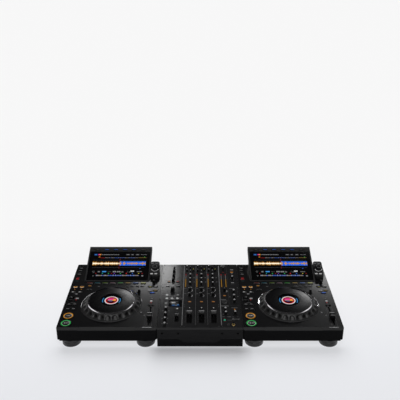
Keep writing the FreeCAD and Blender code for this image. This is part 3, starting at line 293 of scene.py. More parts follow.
class Paint:
    """The nodes of a material or a world, and the one method that adds a node to them."""

    def __init__(self, owner):
        owner.use_nodes = True
        self.owner, self.tree = owner, owner.node_tree
        self.tree.nodes.clear()

    def node(self, kind, settings=None, inputs=None):
        """A node with its settings made first, and then the values or links of its sockets."""
        made = self.tree.nodes.new(kind)
        for key, value in (settings or {}).items():
            if key == "stops":
                ramp = made.color_ramp.elements
                while len(ramp) < len(value):
                    ramp.new(0.5)
                for stop, (place, colour) in zip(ramp, value):
                    stop.position, stop.color = place, colour4(colour)
            else:
                setattr(made, key, value)
        for key, value in (inputs or {}).items():
            value = value.socket if isinstance(value, Value) else value
            if isinstance(value, bpy.types.NodeSocket):
                self.tree.links.new(value, made.inputs[key])
            else:
                made.inputs[key].default_value = value
        return made

    def value(self, kind, settings=None, inputs=None, output=0):
        """One output of a new node, as a number."""
        return Value(self, self.node(kind, settings, inputs).outputs[output])

    def maths(self, operation, *values):
        return self.value("ShaderNodeMath", {"operation": operation}, dict(enumerate(values)))

    def mix(self, mask, first, second):
        """A colour that turns from the first to the second as the mask rises."""
        made = self.node("ShaderNodeMix", {"data_type": "RGBA"}, {0: mask, 6: colour4(first), 7: colour4(second)})
        return made.outputs[2]

    def where(self, scale=(1, 1, 1)):
        """Object coordinates, stretched."""
        start = self.node("ShaderNodeTexCoord").outputs["Object"]
        return self.node("ShaderNodeMapping", None, {"Vector": start, "Scale": scale}).outputs[0]

    def part(self, vector, index):
        """One number of a vector."""
        return self.value("ShaderNodeSeparateXYZ", None, {0: vector}, index)

    def axis(self, index):
        """One object coordinate in metres."""
        return self.part(self.where(), index)

    def noise(self, scale, detail, stretch=(1, 1, 1)):
        return self.value("ShaderNodeTexNoise", None,
                          {"Vector": self.where(stretch), "Scale": scale, "Detail": detail}, "Fac")

    def uv(self):
        """The piece's own map, as two numbers."""
        start = self.node("ShaderNodeUVMap", {"uv_map": "UVMap"}).outputs[0]
        return self.part(start, 0), self.part(start, 1)

    def ripple(self, along, scale, detail):
        """Noise along one number."""
        return self.value("ShaderNodeTexNoise", {"noise_dimensions": "1D"},
                          {"W": along, "Scale": scale, "Detail": detail}, "Fac")

    def bump(self, height, distance):
        return self.node("ShaderNodeBump", None, {"Height": height, "Distance": distance, "Strength": 1.0}).outputs[0]

    def surface(self, colour, rough, gloss, more=None):
        """The material, with its finished surface."""
        inputs = {"Base Color": colour4(colour), "Roughness": rough, "Specular IOR Level": gloss, **(more or {})}
        shader = self.node("ShaderNodeBsdfPrincipled", None, inputs)
        self.node("ShaderNodeOutputMaterial", None, {"Surface": shader.outputs[0]})
        return self.owner

    def lamp_face(self, colour, rough, gloss, light, strength):
        """A face that shines by itself."""
        return self.surface(colour, rough, gloss, {"Emission Color": light, "Emission Strength": strength})


def colour4(value):
    """A colour with its alpha; a link stays as it is."""
    return tuple(value) + (1.0,) if isinstance(value, tuple) and len(value) == 3 else value


def shade(colour, share, lift=0.0):
    """A colour made darker or lighter."""
    return tuple(min(c * share + lift, 1.0) for c in colour)


def tint(colour):
    """A colour, or the one of that name in the sidebar."""
    return tuple(getattr(settings(), colour)) if isinstance(colour, str) else colour


MATERIAL_NAME = "console_%s"


def fresh(name):
    """The paint of a new material."""
    return Paint(bpy.data.materials.new(MATERIAL_NAME % name))


def moulded(name, colour, rough, grain, depth, gloss, coat=0.0, coat_above=0.0):
    """Plastic or paint with a fine grain, worn a little smoother in patches, lacquered above a height."""
    paint = fresh(name)
    cloud, fine = paint.noise(9.0, 4.0), paint.noise(grain, 2.0)
    colour = tint(colour)
    more = {"Normal": paint.bump(fine, depth)}
    if coat:
        more.update({"Coat Weight": (paint.axis(2) > coat_above) * coat, "Coat Roughness": 0.12})
    return paint.surface(paint.mix(cloud * 0.7 + fine * 0.3, shade(colour, 0.8), shade(colour, 1.25, 0.0006)),
                         cloud * 0.08 + fine * 0.05 + (rough - 0.065), gloss, more)


def scooped_body(name):
    """Satin wheel body, with painted shade that darkens it in the finger scoops."""
    paint = fresh(name)
    # painted shade: how dark each point of a scoop is painted, read from the wheel's points
    scoop = paint.value("ShaderNodeAttribute", {"attribute_name": "scoop"}, None, "Fac")
    fine = paint.noise(1300.0, 2.0)
    return paint.surface(paint.mix(scoop, tint("wheel_colour"), (0.0012, 0.0012, 0.0013)), fine * 0.06 + 0.27, 0.28,
                         {"Normal": paint.bump(fine, 0.00003)})


def metal(name, colour, rough, stretch=(1, 1, 1)):
    """Metal with faint draw lines."""
    paint = fresh(name)
    lines = paint.noise(700.0, 2.0, stretch)
    return paint.surface(paint.mix(lines, shade(colour, 0.86), colour), lines * 0.12 + (rough - 0.06), 0.5,
                         {"Metallic": 1.0, "Normal": paint.bump(lines, 0.00003)})


def lit(name, colour, strength, body=0.05):
    """Lamp behind coloured plastic, a little uneven."""
    paint = fresh(name)
    colour = tint(colour)
    light = paint.mix(paint.noise(420.0, 2.0), shade(colour, 0.72), colour)
    return paint.lamp_face(shade(colour, body), 0.5, 0.03, light, strength)


def brushed_deck(name):
    """Black metal panel, brushed across and lacquered."""
    paint = fresh(name)
    lines, cloud = paint.noise(260.0, 3.0, (0.06, 1.0, 1.0)), paint.noise(7.0, 3.0)
    return paint.surface(paint.mix(lines, (0.008, 0.008, 0.0083), (0.0125, 0.0125, 0.013)),
                         lines * 0.07 + cloud * 0.04 + 0.07, 0.06, {"Normal": paint.bump(lines, 0.00004)})


def dark_glass(name, rough, gloss):
    """Polished black face with a breath of dust."""
    paint = fresh(name)
    smear = paint.noise(14.0, 5.0)
    return paint.surface(paint.mix(smear, (0.0015, 0.0015, 0.0018), (0.003, 0.003, 0.0034)), smear * 0.08 + rough,
                         gloss)


BLACK, PICTURE_BODY = (0.0, 0.0, 0.0), (0.003, 0.003, 0.003)
AMBER_EDGE, WHITE_CORE = (0.55, 0.22, 0.008), (1.0, 0.9, 0.68)
BLUE_EDGE, AMBER_CORE = (0.008, 0.12, 0.72), (0.55, 0.27, 0.05)
PLAY_LINE = 0.511           # place of the play line along the waveform


def waveform_picture(name):
    """Running waveform: a white core in amber behind the play line, an amber core in blue ahead of it."""
    paint = fresh(name)
    u, v = paint.uv()
    height = abs(v - 0.5) * 2.0
    beat, fine = paint.ripple(u, 26.0, 1.0), paint.ripple(u, 170.0, 2.0)
    swing, jitter = beat - 0.5, fine - 0.5
    past = paint.mix(height < swing * 1.4 + jitter * 1.2 + 0.5, BLACK, AMBER_EDGE)
    past = paint.mix(height < swing * 0.7 + jitter * 0.5 + 0.27, past, WHITE_CORE)
    coming = paint.mix(height < fine * 0.25 + beat * 0.1 + 0.72, BLACK, BLUE_EDGE)
    coming = paint.mix(height < swing * 1.3 + jitter * 0.8 + 0.25, coming, AMBER_CORE)
    return paint.lamp_face(PICTURE_BODY, 0.3, 0.02, paint.mix(u > PLAY_LINE, past, coming), 1.0)


def strip_picture(name):
    """Whole-track strip: low blue hills with pale and amber crests."""
    paint = fresh(name)
    u, v = paint.uv()
    hill, patch = paint.ripple(u, 34.0, 3.0), paint.ripple(u, 7.0, 1.0)
    tone = paint.mix(patch > 0.53, (0.03, 0.09, 0.42), (0.24, 0.19, 0.15))
    tone = paint.mix(hill > 0.57, tone, (0.3, 0.33, 0.42))
    return paint.lamp_face(PICTURE_BODY, 0.3, 0.02, paint.mix(v < hill * 0.9 + 0.25, BLACK, tone), 0.8)


def socket_face(name):
    """Black sockets whose barrels, past the panel, are nickel."""
    paint = fresh(name)
    barrel = paint.axis(1) > (REAR + 2.0 * MM)
    fine = paint.noise(900.0, 2.0)
    return paint.surface(paint.mix(barrel, (0.008, 0.008, 0.008), (0.62, 0.6, 0.56)), fine * 0.1 + 0.25, 0.3,
                         {"Metallic": barrel, "Normal": paint.bump(fine, 0.00003)})


def circuit_board(name):
    """Green solder resist with paler tracks."""
    paint = fresh(name)
    tracks = paint.noise(160.0, 1.0, (1.0, 0.3, 1.0)) > 0.56
    return paint.surface(paint.mix(tracks, (0.01, 0.09, 0.04), (0.03, 0.18, 0.09)), 0.45, 0.5,
                         {"Metallic": tracks * 0.3})


def settings():
    """The sizes and colours set in the sidebar."""
    return bpy.context.scene.console_looks


FINISHES = {
    # moulded: colour, roughness, the grain's scale and depth, gloss; for lacquer its weight and where it starts
    "deck": (moulded, "deck_colour", 0.3, 900.0, 0.00002, 0.03, 0.14, DECK - 9.0 * MM),
    "sheet": (moulded, (0.004, 0.004, 0.0043), 0.5, 1400.0, 0.00004, 0.05),
    # painted sheen: the heads and selector blocks are made lighter than the deck's black to stand in for light glowing
    # on them
    "head": (moulded, (0.017, 0.017, 0.0175), 0.36, 1100.0, 0.00003, 0.1),
    "surround": (moulded, (0.008, 0.008, 0.0083), 0.2, 1500.0, 0.00002, 0.5),
    "rubber": (moulded, (0.004, 0.004, 0.004), 0.2, 700.0, 0.00003, 0.5),
    "key": (moulded, (0.004, 0.004, 0.0043), 0.3, 1300.0, 0.00003, 0.3),
    "silver": (moulded, (0.34, 0.34, 0.345), 0.34, 1300.0, 0.00002, 0.5),
    "grey": (moulded, (0.1, 0.1, 0.102), 0.36, 1300.0, 0.00002, 0.5),
    "knob": (moulded, (0.0035, 0.0035, 0.0036), 0.42, 1500.0, 0.00004, 0.2),
    "cap": (moulded, (0.2, 0.2, 0.204), 0.4, 1500.0, 0.00002, 0.3),
    "cap_light": (moulded, (0.55, 0.55, 0.555), 0.36, 1500.0, 0.00002, 0.4),
    "olive": (moulded, (0.2, 0.18, 0.015), 0.4, 1500.0, 0.00002, 0.3),
    "print": (moulded, "print_colour", 0.6, 1500.0, 0.00001, 0.1),
    "print_dim": (moulded, (0.075, 0.075, 0.077), 0.6, 1500.0, 0.00001, 0.1),
    "print_faint": (moulded, (0.03, 0.03, 0.031), 0.6, 1500.0, 0.00001, 0.1),
    "rib": (moulded, (0.075, 0.075, 0.077), 0.4, 900.0, 0.00002, 0.3),
    "rib_dark": (moulded, (0.022, 0.022, 0.023), 0.4, 900.0, 0.00002, 0.2),
    "hole": (moulded, (0.0008, 0.0008, 0.0008), 0.8, 600.0, 0.00002, 0.02),
    # metal: colour, roughness, stretch of the lines; dark_glass: roughness, gloss
    "panel": (brushed_deck,), "wheel": (scooped_body,), "plate": (dark_glass, 0.18, 0.11),
    "glass": (dark_glass, 0.12, 0.1), "lens": (dark_glass, 0.1, 0.03), "chrome": (metal, (0.82, 0.8, 0.83), 0.08),
    "smoke_chrome": (metal, (0.88, 0.88, 0.89), 0.1), "steel": (metal, (0.5, 0.5, 0.51), 0.32, (1, 0.1, 1)),
    "zinc": (metal, (0.4, 0.4, 0.42), 0.42), "gold": (metal, (0.85, 0.6, 0.24), 0.3), "socket": (socket_face,),
    "board": (circuit_board,), "waveform": (waveform_picture,), "strip": (strip_picture,),
    # lit: colour, strength, share of the colour when dark
    "lit_white": (lit, (0.85, 0.87, 0.9), 0.95), "lit_grey": (lit, (0.28, 0.29, 0.3), 0.8),
    "lit_dim": (lit, (0.09, 0.09, 0.095), 0.8), "lit_red": (lit, (0.75, 0.02, 0.02), 0.9),
    "lit_deep_red": (lit, (0.3, 0.012, 0.012), 0.8), "lit_pink": (lit, (0.9, 0.04, 0.28), 0.95),
    "lit_orange": (lit, (0.9, 0.33, 0.03), 0.95), "lit_amber": (lit, "amber", 0.85),
    "lit_yellow": (lit, (0.62, 0.55, 0.03), 0.75), "lit_green": (lit, "green", 0.8),
    "lit_teal": (lit, (0.02, 0.32, 0.2), 0.9), "lit_teal_dim": (lit, (0.05, 0.09, 0.09), 0.8),
    "lit_blue": (lit, (0.03, 0.15, 0.7), 0.9), "lit_sky": (lit, (0.05, 0.3, 0.75), 0.95),
    "key_amber": (lit, (0.4, 0.15, 0.02), 0.75, 0.2), "lit_arc": (lit, (0.03, 0.2, 0.45), 0.9),
    "lit_violet": (lit, (0.12, 0.03, 0.2), 0.8), "lit_navy": (lit, (0.02, 0.08, 0.3), 0.8),
    "lit_purple": (lit, (0.2, 0.04, 0.55), 0.8), "meter_red": (lit, (0.3, 0.02, 0.02), 0.75),
    "meter_grey": (lit, (0.12, 0.12, 0.125), 0.8), "meter_amber": (lit, (0.3, 0.15, 0.015), 0.85),
    "pad_red": (lit, (0.085, 0.014, 0.013), 0.98), "pad_teal": (lit, (0.008, 0.07, 0.09), 1.1),
    "pad_lime": (lit, (0.06, 0.11, 0.01), 1.1), "pad_rose": (lit, (0.13, 0.08, 0.1), 0.98),
    "pad_green": (lit, (0.03, 0.18, 0.03), 1.1), "pad_orange": (lit, (0.22, 0.15, 0.04), 1.1),
    "pad_blue": (lit, (0.06, 0.11, 0.26), 1.1), "pad_yellow": (lit, (0.3, 0.31, 0.08), 1.1),
}


def material_of(finish):
    """A finish's material, made the first time it is asked for."""
    maker, *values = FINISHES[finish]
    return bpy.data.materials.get(MATERIAL_NAME % finish) or maker(finish, *values)


# ---- casings
def rounded_copy(build, node, finish, offset, longest):
    """A node's own shape with its longer outer edges rounded over."""
    shape = merged_copy(node)
    bmesh.ops.dissolve_limit(shape, angle_limit=math.radians(1.0), verts=shape.verts, edges=shape.edges)
    turn = math.radians(20)
    edges = [e for e in shape.edges if len(e.link_faces) == 2 and e.calc_length() > longest * MM
             and e.calc_face_angle_signed(0.0) > turn]
    bevel(shape, edges, offset * MM, 2)
    build.add(shape, finish)


NODE_FINISHES = {
    # finish: nodes that keep their own shape
    "sheet": ("left_base_pan", "right_base_pan", "mixer_case", "fader_rails"), "zinc": ("jog_spindles",),
    "deck": ("left_top_cover", "right_top_cover"), "panel": ("mixer_top_panel",), "steel": ("jog_bearings",),
    "hole": ("case_screws",), "board": ("circuit_boards",), "socket": ("sockets",),
}
ROUNDED = (
    # node, name of its piece, finish, radius, shortest edge that is rounded, slot
    ("left_screen_housing", "left_screen_housing_shell", "head", 0.8, 30.0, "dark_plastic"),
    ("right_screen_housing", "right_screen_housing_shell", "head", 0.8, 30.0, "dark_plastic"),
    ("selector_blocks", "selector_block_shells", "head", 1.2, 3.0, "dark_plastic"),
    ("mixer_front_panel", "mixer_front_plate", "panel", 0.4, 12.0, "panel_metal"),
)


def make_casings():
    """Finishes the nodes that stay, and rounds the edges of the heads, selector blocks and the front plate."""
    for finish, nodes in NODE_FINISHES.items():
        for node in nodes:
            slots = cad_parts[node].data.materials
            slots.clear()
            slots.append(material_of(finish))
    for node, name, finish, offset, longest, slot in ROUNDED:
        build = Build()
        rounded_copy(build, node, finish, offset, longest)
        build.piece(name, node)


def make_feet():
    """Moulded feet with a groove round the wall and a rounded sole."""
    build = Build()
    for x, y, r, _, low, top, _ in solids("rubber_feet"):
        tall = top - low
        if tall > 10:
            wall = [(r - 1.4, 0), (r, 1.6), (r, tall * 0.62), (r - 0.8, tall * 0.65), (r - 0.8, tall * 0.7),
                    (r, tall * 0.73)]
        else:
            wall = [(r - 1.5, 0), (r, 1.5)]
        build.add(turned(eased([(0, 0)] + wall + [(r, tall), (0, tall)], 0.5), 64), "rubber",
                  on_deck() @ shifted(x, y, low))
    build.piece("moulded_feet", "rubber_feet")


# ---- jog wheels
SLOPE_ROWS, FLUTE_STEPS = 12, 12
FLUTE_HALF = 0.4                            # as a share of the room that each flute has on the rim
FLUTE_END, FLUTE_REACH = 0.62, 0.5          # where the round end stands and how long it is, as shares of the slope


def fluted_wheel():
    """Wheel body whose sloping shoulder is scooped for the fingers, with the painted shade of each scoop stored on its
    points.
    """
    look = settings()
    run, rise = WHEEL_R - SHOULDER_R, WHEEL_TOP - SHOULDER_LOW
    slope = [(SHOULDER_R + run * i / SLOPE_ROWS, WHEEL_TOP - rise * i / SLOPE_ROWS) for i in range(SLOPE_ROWS + 1)]
    outline = [(60, WHEEL_TOP)] + slope + [(WHEEL_R, WHEEL_LOW), (60, WHEEL_LOW)]
    shape = turned(outline, look.flutes * FLUTE_STEPS, True)
    length = math.hypot(run, rise)
    inward = Vector((-rise / length, -run / length))
    scoop = shape.verts.layers.float.new("scoop")
    for vert in shape.verts:
        down = (math.hypot(vert.co.x, vert.co.y) - SHOULDER_R) / run
        if not 0.0 <= down <= 1.0001 or vert.co.z < SHOULDER_LOW - 0.01:
            continue
        angle = math.atan2(vert.co.y, vert.co.x)
        across = abs((angle / (2 * math.pi) * look.flutes) % 1.0 - 0.5) / FLUTE_HALF
        reach = math.hypot(across, max(0.0, (FLUTE_END - down) / FLUTE_REACH))
        dip = look.flute_depth * max(0.0, 1 - reach ** 2) ** 0.5
        # painted shade: darker where the scoop is deeper, fading out towards the foot of the slope
        vert[scoop] = min(1.0, dip / look.flute_depth * 1.6) * min(1.0, (1.0 - down) * 2.2)
        edge = 0.9 * (1 - min(down / 0.08, 1.0)) ** 2
        move = inward * dip
        vert.co += Vector((math.cos(angle) * (move.x - edge * 0.4), math.sin(angle) * (move.x - edge * 0.4),
                           move.y - edge * 0.3))
    return shape


def make_jog_wheels():
    """Fluted wheels, glossy plates with bright rims, and the rings on the deck."""
    rings = Build()
    for side in SIDES:
        place = on_deck(CENTRES[side]) @ shifted(0, JOG_Y)
        body = side + "_jog_wheel"
        wheel = Build()
        wheel.add(fluted_wheel(), "wheel", place)
        wheel.piece(side + "_fluted_wheel", side + "_jog_ring", body, 50)
        plate = Build()
        edge, hub = PLATE_R - 2.4, LENS_R + 1.0
        crown = [(edge + (hub - edge) * i / 10, CROWN - PLATE_DROP * (1 - i / 10) ** 2) for i in range(11)]
        dish = [(hub, WHEEL_TOP + 0.1), (edge, WHEEL_TOP + 0.1)] + crown
        plate.add(turned(dish, 128, True), "plate", place)
        rim = [(edge - 0.1, WHEEL_TOP), (PLATE_R + 0.6, WHEEL_TOP), (PLATE_R + 0.6, RIM_TOP - 3.5),
               (PLATE_R - 0.3, RIM_TOP - 1.65), (PLATE_R - 1.1, RIM_TOP - 0.3), (PLATE_R - 1.7, RIM_TOP - 0.08),
               (edge + 0.1, RIM_TOP - 0.08), (edge - 0.1, RIM_TOP - 2.0)]
        plate.add(turned(rim, 128, True), "chrome", place)
        plate.piece(side + "_wheel_plate", side + "_jog_plate", body, 14)
        ring = [(WHEEL_R + out, up) for out, up in ((1.5, 0), (5.6, 0), (5.6, 0.4), (4.3, 1.18), (3.1, 1.6),
                                                    (2.0, 1.87), (1.5, 1.7))]
        rings.add(turned(ring, 128, True), "smoke_chrome", place)
    rings.piece("jog_rings", "jog_surround_rings", ROOT, 5)


CENTRE_BLOCKS = {
    # finish: x, y, width, depth of each block
    "lit_pink": ((-1.5, 10.25, 19, 3.5), (-4, 5.25, 20, 6.5)),
    "lit_orange": ((10.25, 5, 8.5, 8), (9.75, -1.2, 11.5, 4.4)),
    "lit_grey": ((-4, -0.3, 16, 4.6),),
    "lit_violet": ((-2.5, -7, 11, 4),),
    "lit_deep_red": ((-14, -1, 4, 10), (12.5, -6.2, 5, 5.6)),
}


def make_centre_displays():
    """Round displays: a white ring, a red ring, a generic banded middle and blue level arcs."""
    build = Build()
    for side in SIDES:
        place = on_deck(CENTRES[side]) @ shifted(0, JOG_Y, PLATE_TOP)
        build.add(disc(LENS_R, -4.0, 0.0, 0.5, 96), "lens", place)
        build.add(band(20.8, 23.6, 0.0, 0.12, 72), "lit_white", place)
        build.add(band(17.6, 20.6, 0.0, 0.1, 72), "lit_red", place)
        build.marks(CENTRE_BLOCKS, place, 0.0, 0.1)
        for start in (-28, 152):
            build.add(band(29.0, 32.4, 0.0, 0.12, 16, 52, start), "lit_arc", place)
    build.piece("centre_displays", "jog_center_displays")


# ---- screens, in millimetres across and up the slope
PICTURE_LIFT = -0.12        # pictures lie just over the sunk glass
GLASS = (-115.5, 114.5, 4.5, 147.5)
PICTURES = (
    # name, finish, x from and to, up the slope from and to
    ("_waveform", "waveform", -101.5, 100.8, 74.2, 98.1), ("_track_strip", "strip", -57.0, 70.0, 114.2, 116.8),
    ("_low_strip", "strip", -81.5, 79.5, 24.5, 31.0),
)
MENU_KEY_X, MENU_KEY_STEP, MENU_KEY_HALF = -89.0, 35.0, 11.0
MENU_KEY_LAMPS = (("lit_dim", 5.0),) + (("lit_blue", 7.0),) * 4 + (("lit_dim", 5.0),)     # finish, half width
SCREEN_FIELDS = {
    # fields, lines and cue markers
    "lit_navy": ((-94.25, 131.25, 12.5, 7.5),),
    "lit_pink": ((-82.25, 131.4, 5.5, 5.2),),
    "lit_orange": ((-76.75, 131.4, 5.5, 5.2), (-79, 119.3, 6, 2.6)),
    "lit_dim": ((29.75, 131.25, 14.5, 5.5), (47, 131.25, 10, 5.5), (66.5, 131.25, 13, 5.5), (-72.9, 45.3, 9.6, 6.6),
        (14.9, 48, 7, 1.2), (34.4, 42.5, 3.6, 2), (35.4, 47.5, 3.6, 2), (91.85, 25.05, 8.1, 7.1)),
    "lit_green": ((94.5, 118.75, 3, 2.5), (-35.8, 36.8, 3.6, 3.6), (9.3, 36.8, 3.6, 3.6)),
    "lit_deep_red": ((-66.75, 114.7, 16.5, 2.2), (0.8, 85, 0.8, 42), (1.3, 107, 3.4, 2), (0.8, 63, 2.8, 2),
        (-83.3, 36.8, 3.6, 3.6), (-24.1, 36.8, 3.6, 3.6), (90.3, 36.8, 3.6, 3.6)),
    "pad_orange": ((86.5, 115.4, 31, 1.6),),
    "lit_blue": ((80.5, 61.4, 5, 1.8), (54.4, 36.8, 3.6, 3.6)),
    "lit_teal": ((-58.5, 36.8, 3.6, 3.6),),
    "lit_purple": ((-13.7, 36.8, 3.6, 3.6),),
    "lit_yellow": ((77.4, 36.8, 3.6, 3.6),),
    "lit_red": ((31.4, 36.8, 3.6, 3.6),),
}
SCREEN_SIGNS = {
    # the brighter signs, a little higher
    "lit_sky": ((-94.25, 131.2, 5.5, 2.4), (-52.9, 45.6, 15.2, 5.2)),
    "lit_white": ((47.8, 47.9, 3, 5.8), (51.85, 47.7, 3.1, 6.2), (56.9, 48.65, 5, 4.3)),
    "lit_grey": ((29.75, 131.4, 6.5, 2), (47, 131.4, 5, 2), (66.5, 131.4, 7, 2), (-72.9, 45.3, 5.6, 3.4),
        (-17.75, 45.5, 5.5, 6), (-10.9, 45.5, 6, 6), (-2.05, 45.25, 5.5, 5.5), (5, 45.25, 6.6, 5.5),
        (15.45, 43.85, 8.1, 2.7), (42.4, 43.75, 4, 2.5), (52.85, 47.5, 13.1, 6.6), (91.8, 25, 5, 4)),
}
TEXT_ROWS = (
    # finish, x from and to, middle, height, seed
    ("lit_grey", -71.0, -5.0, 131.2, 3.0, 0), ("lit_grey", 80.0, 102.0, 131.2, 2.2, 7),
    ("lit_dim", -39.5, -27.0, 45.4, 2.6, 3), ("lit_grey", 70.5, 89.0, 45.4, 3.0, 4),
    ("lit_dim", -100.0, 98.0, 66.0, 0.8, 5), ("lit_dim", -100.0, 98.0, 102.6, 0.8, 6),
)


def text_row(build, finish, x0, x1, s, tall, place, seed):
    """Dashes that stand for a line of small print."""
    chance = random.Random(seed)
    x = x0
    while x < x1 - 0.8:
        width = min(chance.uniform(0.9, 3.4), x1 - x)
        build.marks({finish: ((x + width / 2, s, width, tall),)}, place, PICTURE_LIFT, 0.06)
        x += width + chance.choice((0.5, 0.6, 1.6))


def picture(name, place, finish, x0, x1, s0, s1):
    """Flat lit picture with its own map, just over the glass."""
    build = Build()
    mesh, build.finishes = build.mesh, [finish]
    corners = [(x0, s0), (x1, s0), (x1, s1), (x0, s1)]
    face = mesh.faces.new([mesh.verts.new((x, s, PICTURE_LIFT + 0.02)) for x, s in corners])
    layer = mesh.loops.layers.uv.new("UVMap")
    for loop, (x, s) in zip(face.loops, corners):
        loop[layer].uv = ((x - x0) / (x1 - x0), (s - s0) / (s1 - s0))
    pulled(mesh, face, (0, 0, -0.06))
    bmesh.ops.transform(mesh, matrix=place, verts=mesh.verts)
    build.piece(name, None)


def pulled(shape, face, way):
    """Pulls a face into a solid."""
    made = bmesh.ops.extrude_face_region(shape, geom=[face])["geom"]
    bmesh.ops.translate(shape, vec=way, verts=[part for part in made if isinstance(part, bmesh.types.BMVert)])
    bmesh.ops.recalc_face_normals(shape, faces=shape.faces)


def make_screens():
    """Glass faces with their lit pictures, and the menu keys over them."""
    glass = Build()
    for number, side in enumerate(SIDES):
        place = on_slope(side, SCREEN_Y, SCREEN_LIFT)
        glass.add(block(*GLASS, -2.2, -0.2, 1.2, 0.3), "glass", place)
        for name, *shown in PICTURES:
            picture(side + name, place, *shown)
        build = Build()
        build.marks(SCREEN_FIELDS, place, PICTURE_LIFT, 0.08)
        build.marks(SCREEN_SIGNS, place, PICTURE_LIFT, 0.14)
        for finish, x0, x1, s, tall, seed in TEXT_ROWS:
            text_row(build, finish, x0, x1, s, tall, place, number + seed)
        build.add(band(3.2, 3.9, 0, 0.08, 24), "lit_grey", place @ shifted(-93.5, 45.4, PICTURE_LIFT))
        build.add(band(1.6, 2.4, 0, 0.08, 16), "lit_grey", place @ shifted(-92.0, 25.4, PICTURE_LIFT))
        build.piece(side + "_screen_picture", None)
        keys = Build()
        for i, (tone, half) in enumerate(MENU_KEY_LAMPS):
            at = place @ shifted(MENU_KEY_X + MENU_KEY_STEP * i, 0)
            keys.add(block(-MENU_KEY_HALF, MENU_KEY_HALF, 153.7, 158.3, -7.0, 1.3, 0.8, 0.5), "key", at)
            keys.add(bar(-half, half, 156.0, 157.4, 1.28, 0.12), tone, at)
        keys.own_piece(side + "_menu_key_tops", side + "_menu_keys")
    glass.piece("glass_faces", "screen_glasses")


# ---- knobs
def ribbed_knob(build, place, radius, height, low, cap, pointer, ribs=18):
    """Knob with a ribbed grip, a light cap and a pointer line."""
    skirt = [(0, low), (radius - 0.3, low), (radius, low + 0.5), (radius - 0.3, low + 2.0), (radius - 1.0, low + 2.4),
             (0, low + 2.4)]
    build.add(turned(skirt, 36), "knob", place)
    top = radius - 1.7
    grip = turned(eased([(0, low + 2.0), (radius - 1.0, low + 2.0), (top, height), (0, height)], 0.5), ribs * 2)

    def between(angle, z):
        turn = angle / (2 * math.pi) * ribs
        return abs(turn - round(turn)) < 0.25 and low + 2.1 < z < height - 0.1

    build.add(squeezed(grip, 0.93, between), "knob", place)
    build.add(disc(top - 0.7, height - 0.3, height + 0.25, 0.2, 28), cap, place)
    build.add(block(-0.35, 0.35, top * 0.25, top - 0.2, height, height + 0.36), pointer, place)
    build.add(block(-0.35, 0.35, top - 0.2, radius - 0.7, height - 1.2, height - 0.1), pointer, place)


SELECTOR_X, SELECTOR_Y = 137.75, 35.0
SELECTOR_KEYS = ((127.0, 9.5, "cap_light"), (142.5, 9.5, "cap_light"), (127.5, 60.0, "grey"), (142.5, 60.0, "grey"))


def make_selectors():
    """Selector knobs with bright crowns, their dished rings with a painted highlight on the near half, and the keys
    round them.
    """
    extras = Build()
    for side in SIDES:
        place = on_slope(side, BLOCK_Y, BLOCK_LIFT)
        at = place @ shifted(SELECTOR_X, SELECTOR_Y)
        knob = Build()
        skirt = [(0, -0.5), (11.5, -0.5), (11.5, 2.0), (10.6, 2.9), (0, 2.9)]
        knob.add(turned(eased(skirt, 0.4), 64), "knob", at)
        grip = turned(eased([(0, 2.4), (10.0, 2.4), (9.3, 12.2), (8.4, 13.0), (0, 13.0)], 0.5), 72)
        knob.add(squeezed(grip, 0.965, lambda angle, z: round(math.degrees(angle) / 5) % 2 and 2.5 < z < 12.0),
                 "knob", at)
        crown = [(6.9, 12.6), (8.6, 12.6), (8.6, 13.1), (8.0, 13.5), (7.3, 13.3), (6.9, 12.9)]
        knob.add(turned(eased(crown, 0.2, True), 64, True), "grey", at)
        knob.add(disc(3.0, -9.0, 0.0, 0, 16), "steel", at)
        knob.own_piece(side + "_selector_knob", side + "_browse_knob")
        dish = eased([(12.6, -1.2), (15.0, -1.2), (15.0, 0.3), (13.4, 0.3)], 0.3, True)
        extras.add(turned(dish, 64, True), "surround", at)
        # painted highlight: a pale arc on the near half of the dished ring
        extras.add(band(11.8, 14.0, 0.25, 0.6, 24, 150, 195), "cap_light", at)
        for x, s, finish in SELECTOR_KEYS:
            extras.add(block(x - 5.0, x + 5.0, s - 2.4, s + 2.4, -0.5, 1.0, 1.6, 0.5), finish, place)
    extras.piece("selector_trim", None)


def turning_knob(node, cap, pointer):
    """One knob on its own body, with its shaft."""
    x, y, r, _, low, top = deck_box(*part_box(node))
    at = on_deck() @ shifted(x, y)
    build = Build()
    ribbed_knob(build, at, r, top - 0.3, 0.6, cap, pointer)
    build.add(disc(2.9, low, 1.0, 0, 16), "steel", at)
    build.own_piece(node + "_top", node)


STRIP_HALF = 15.0           # half the width of a channel's strip


def make_knobs():
    """Turning knobs of the players and the mixer, and the mixer's fixed small knobs."""
    for side in SIDES:
        for node in (side + "_touch_knob", side + "_jog_adjust_knob"):
            turning_knob(node, "knob", "print")
    for number in CHANNELS:
        for tone in TONES:
            turning_knob("channel%d_%s_knob" % (number, tone), "cap", "cap_light")
    build = Build()
    for x, y, r, _, _, top, _ in solids("mixer_small_knobs"):
        across = min((x - channel for channel in CHANNELS.values()), key=abs)
        on_strip = abs(across) < STRIP_HALF
        cap, pointer = "knob", "print"
        if on_strip and y > 380 and across < -5:
            cap, pointer = "cap_light", "cap_light"
        elif on_strip and y > 340:
            cap, pointer = ("olive", "lit_yellow") if across > 5 else ("cap", "print")
            cap = "knob" if y > 375 else cap
        elif x > 110 or y < 120:
            cap, pointer = "cap", "cap_light"
        ribbed_knob(build, on_deck() @ shifted(x, y), r, top - 0.3, 0.0, cap, pointer, 14)
    build.piece("small_knob_tops", "mixer_small_knobs")


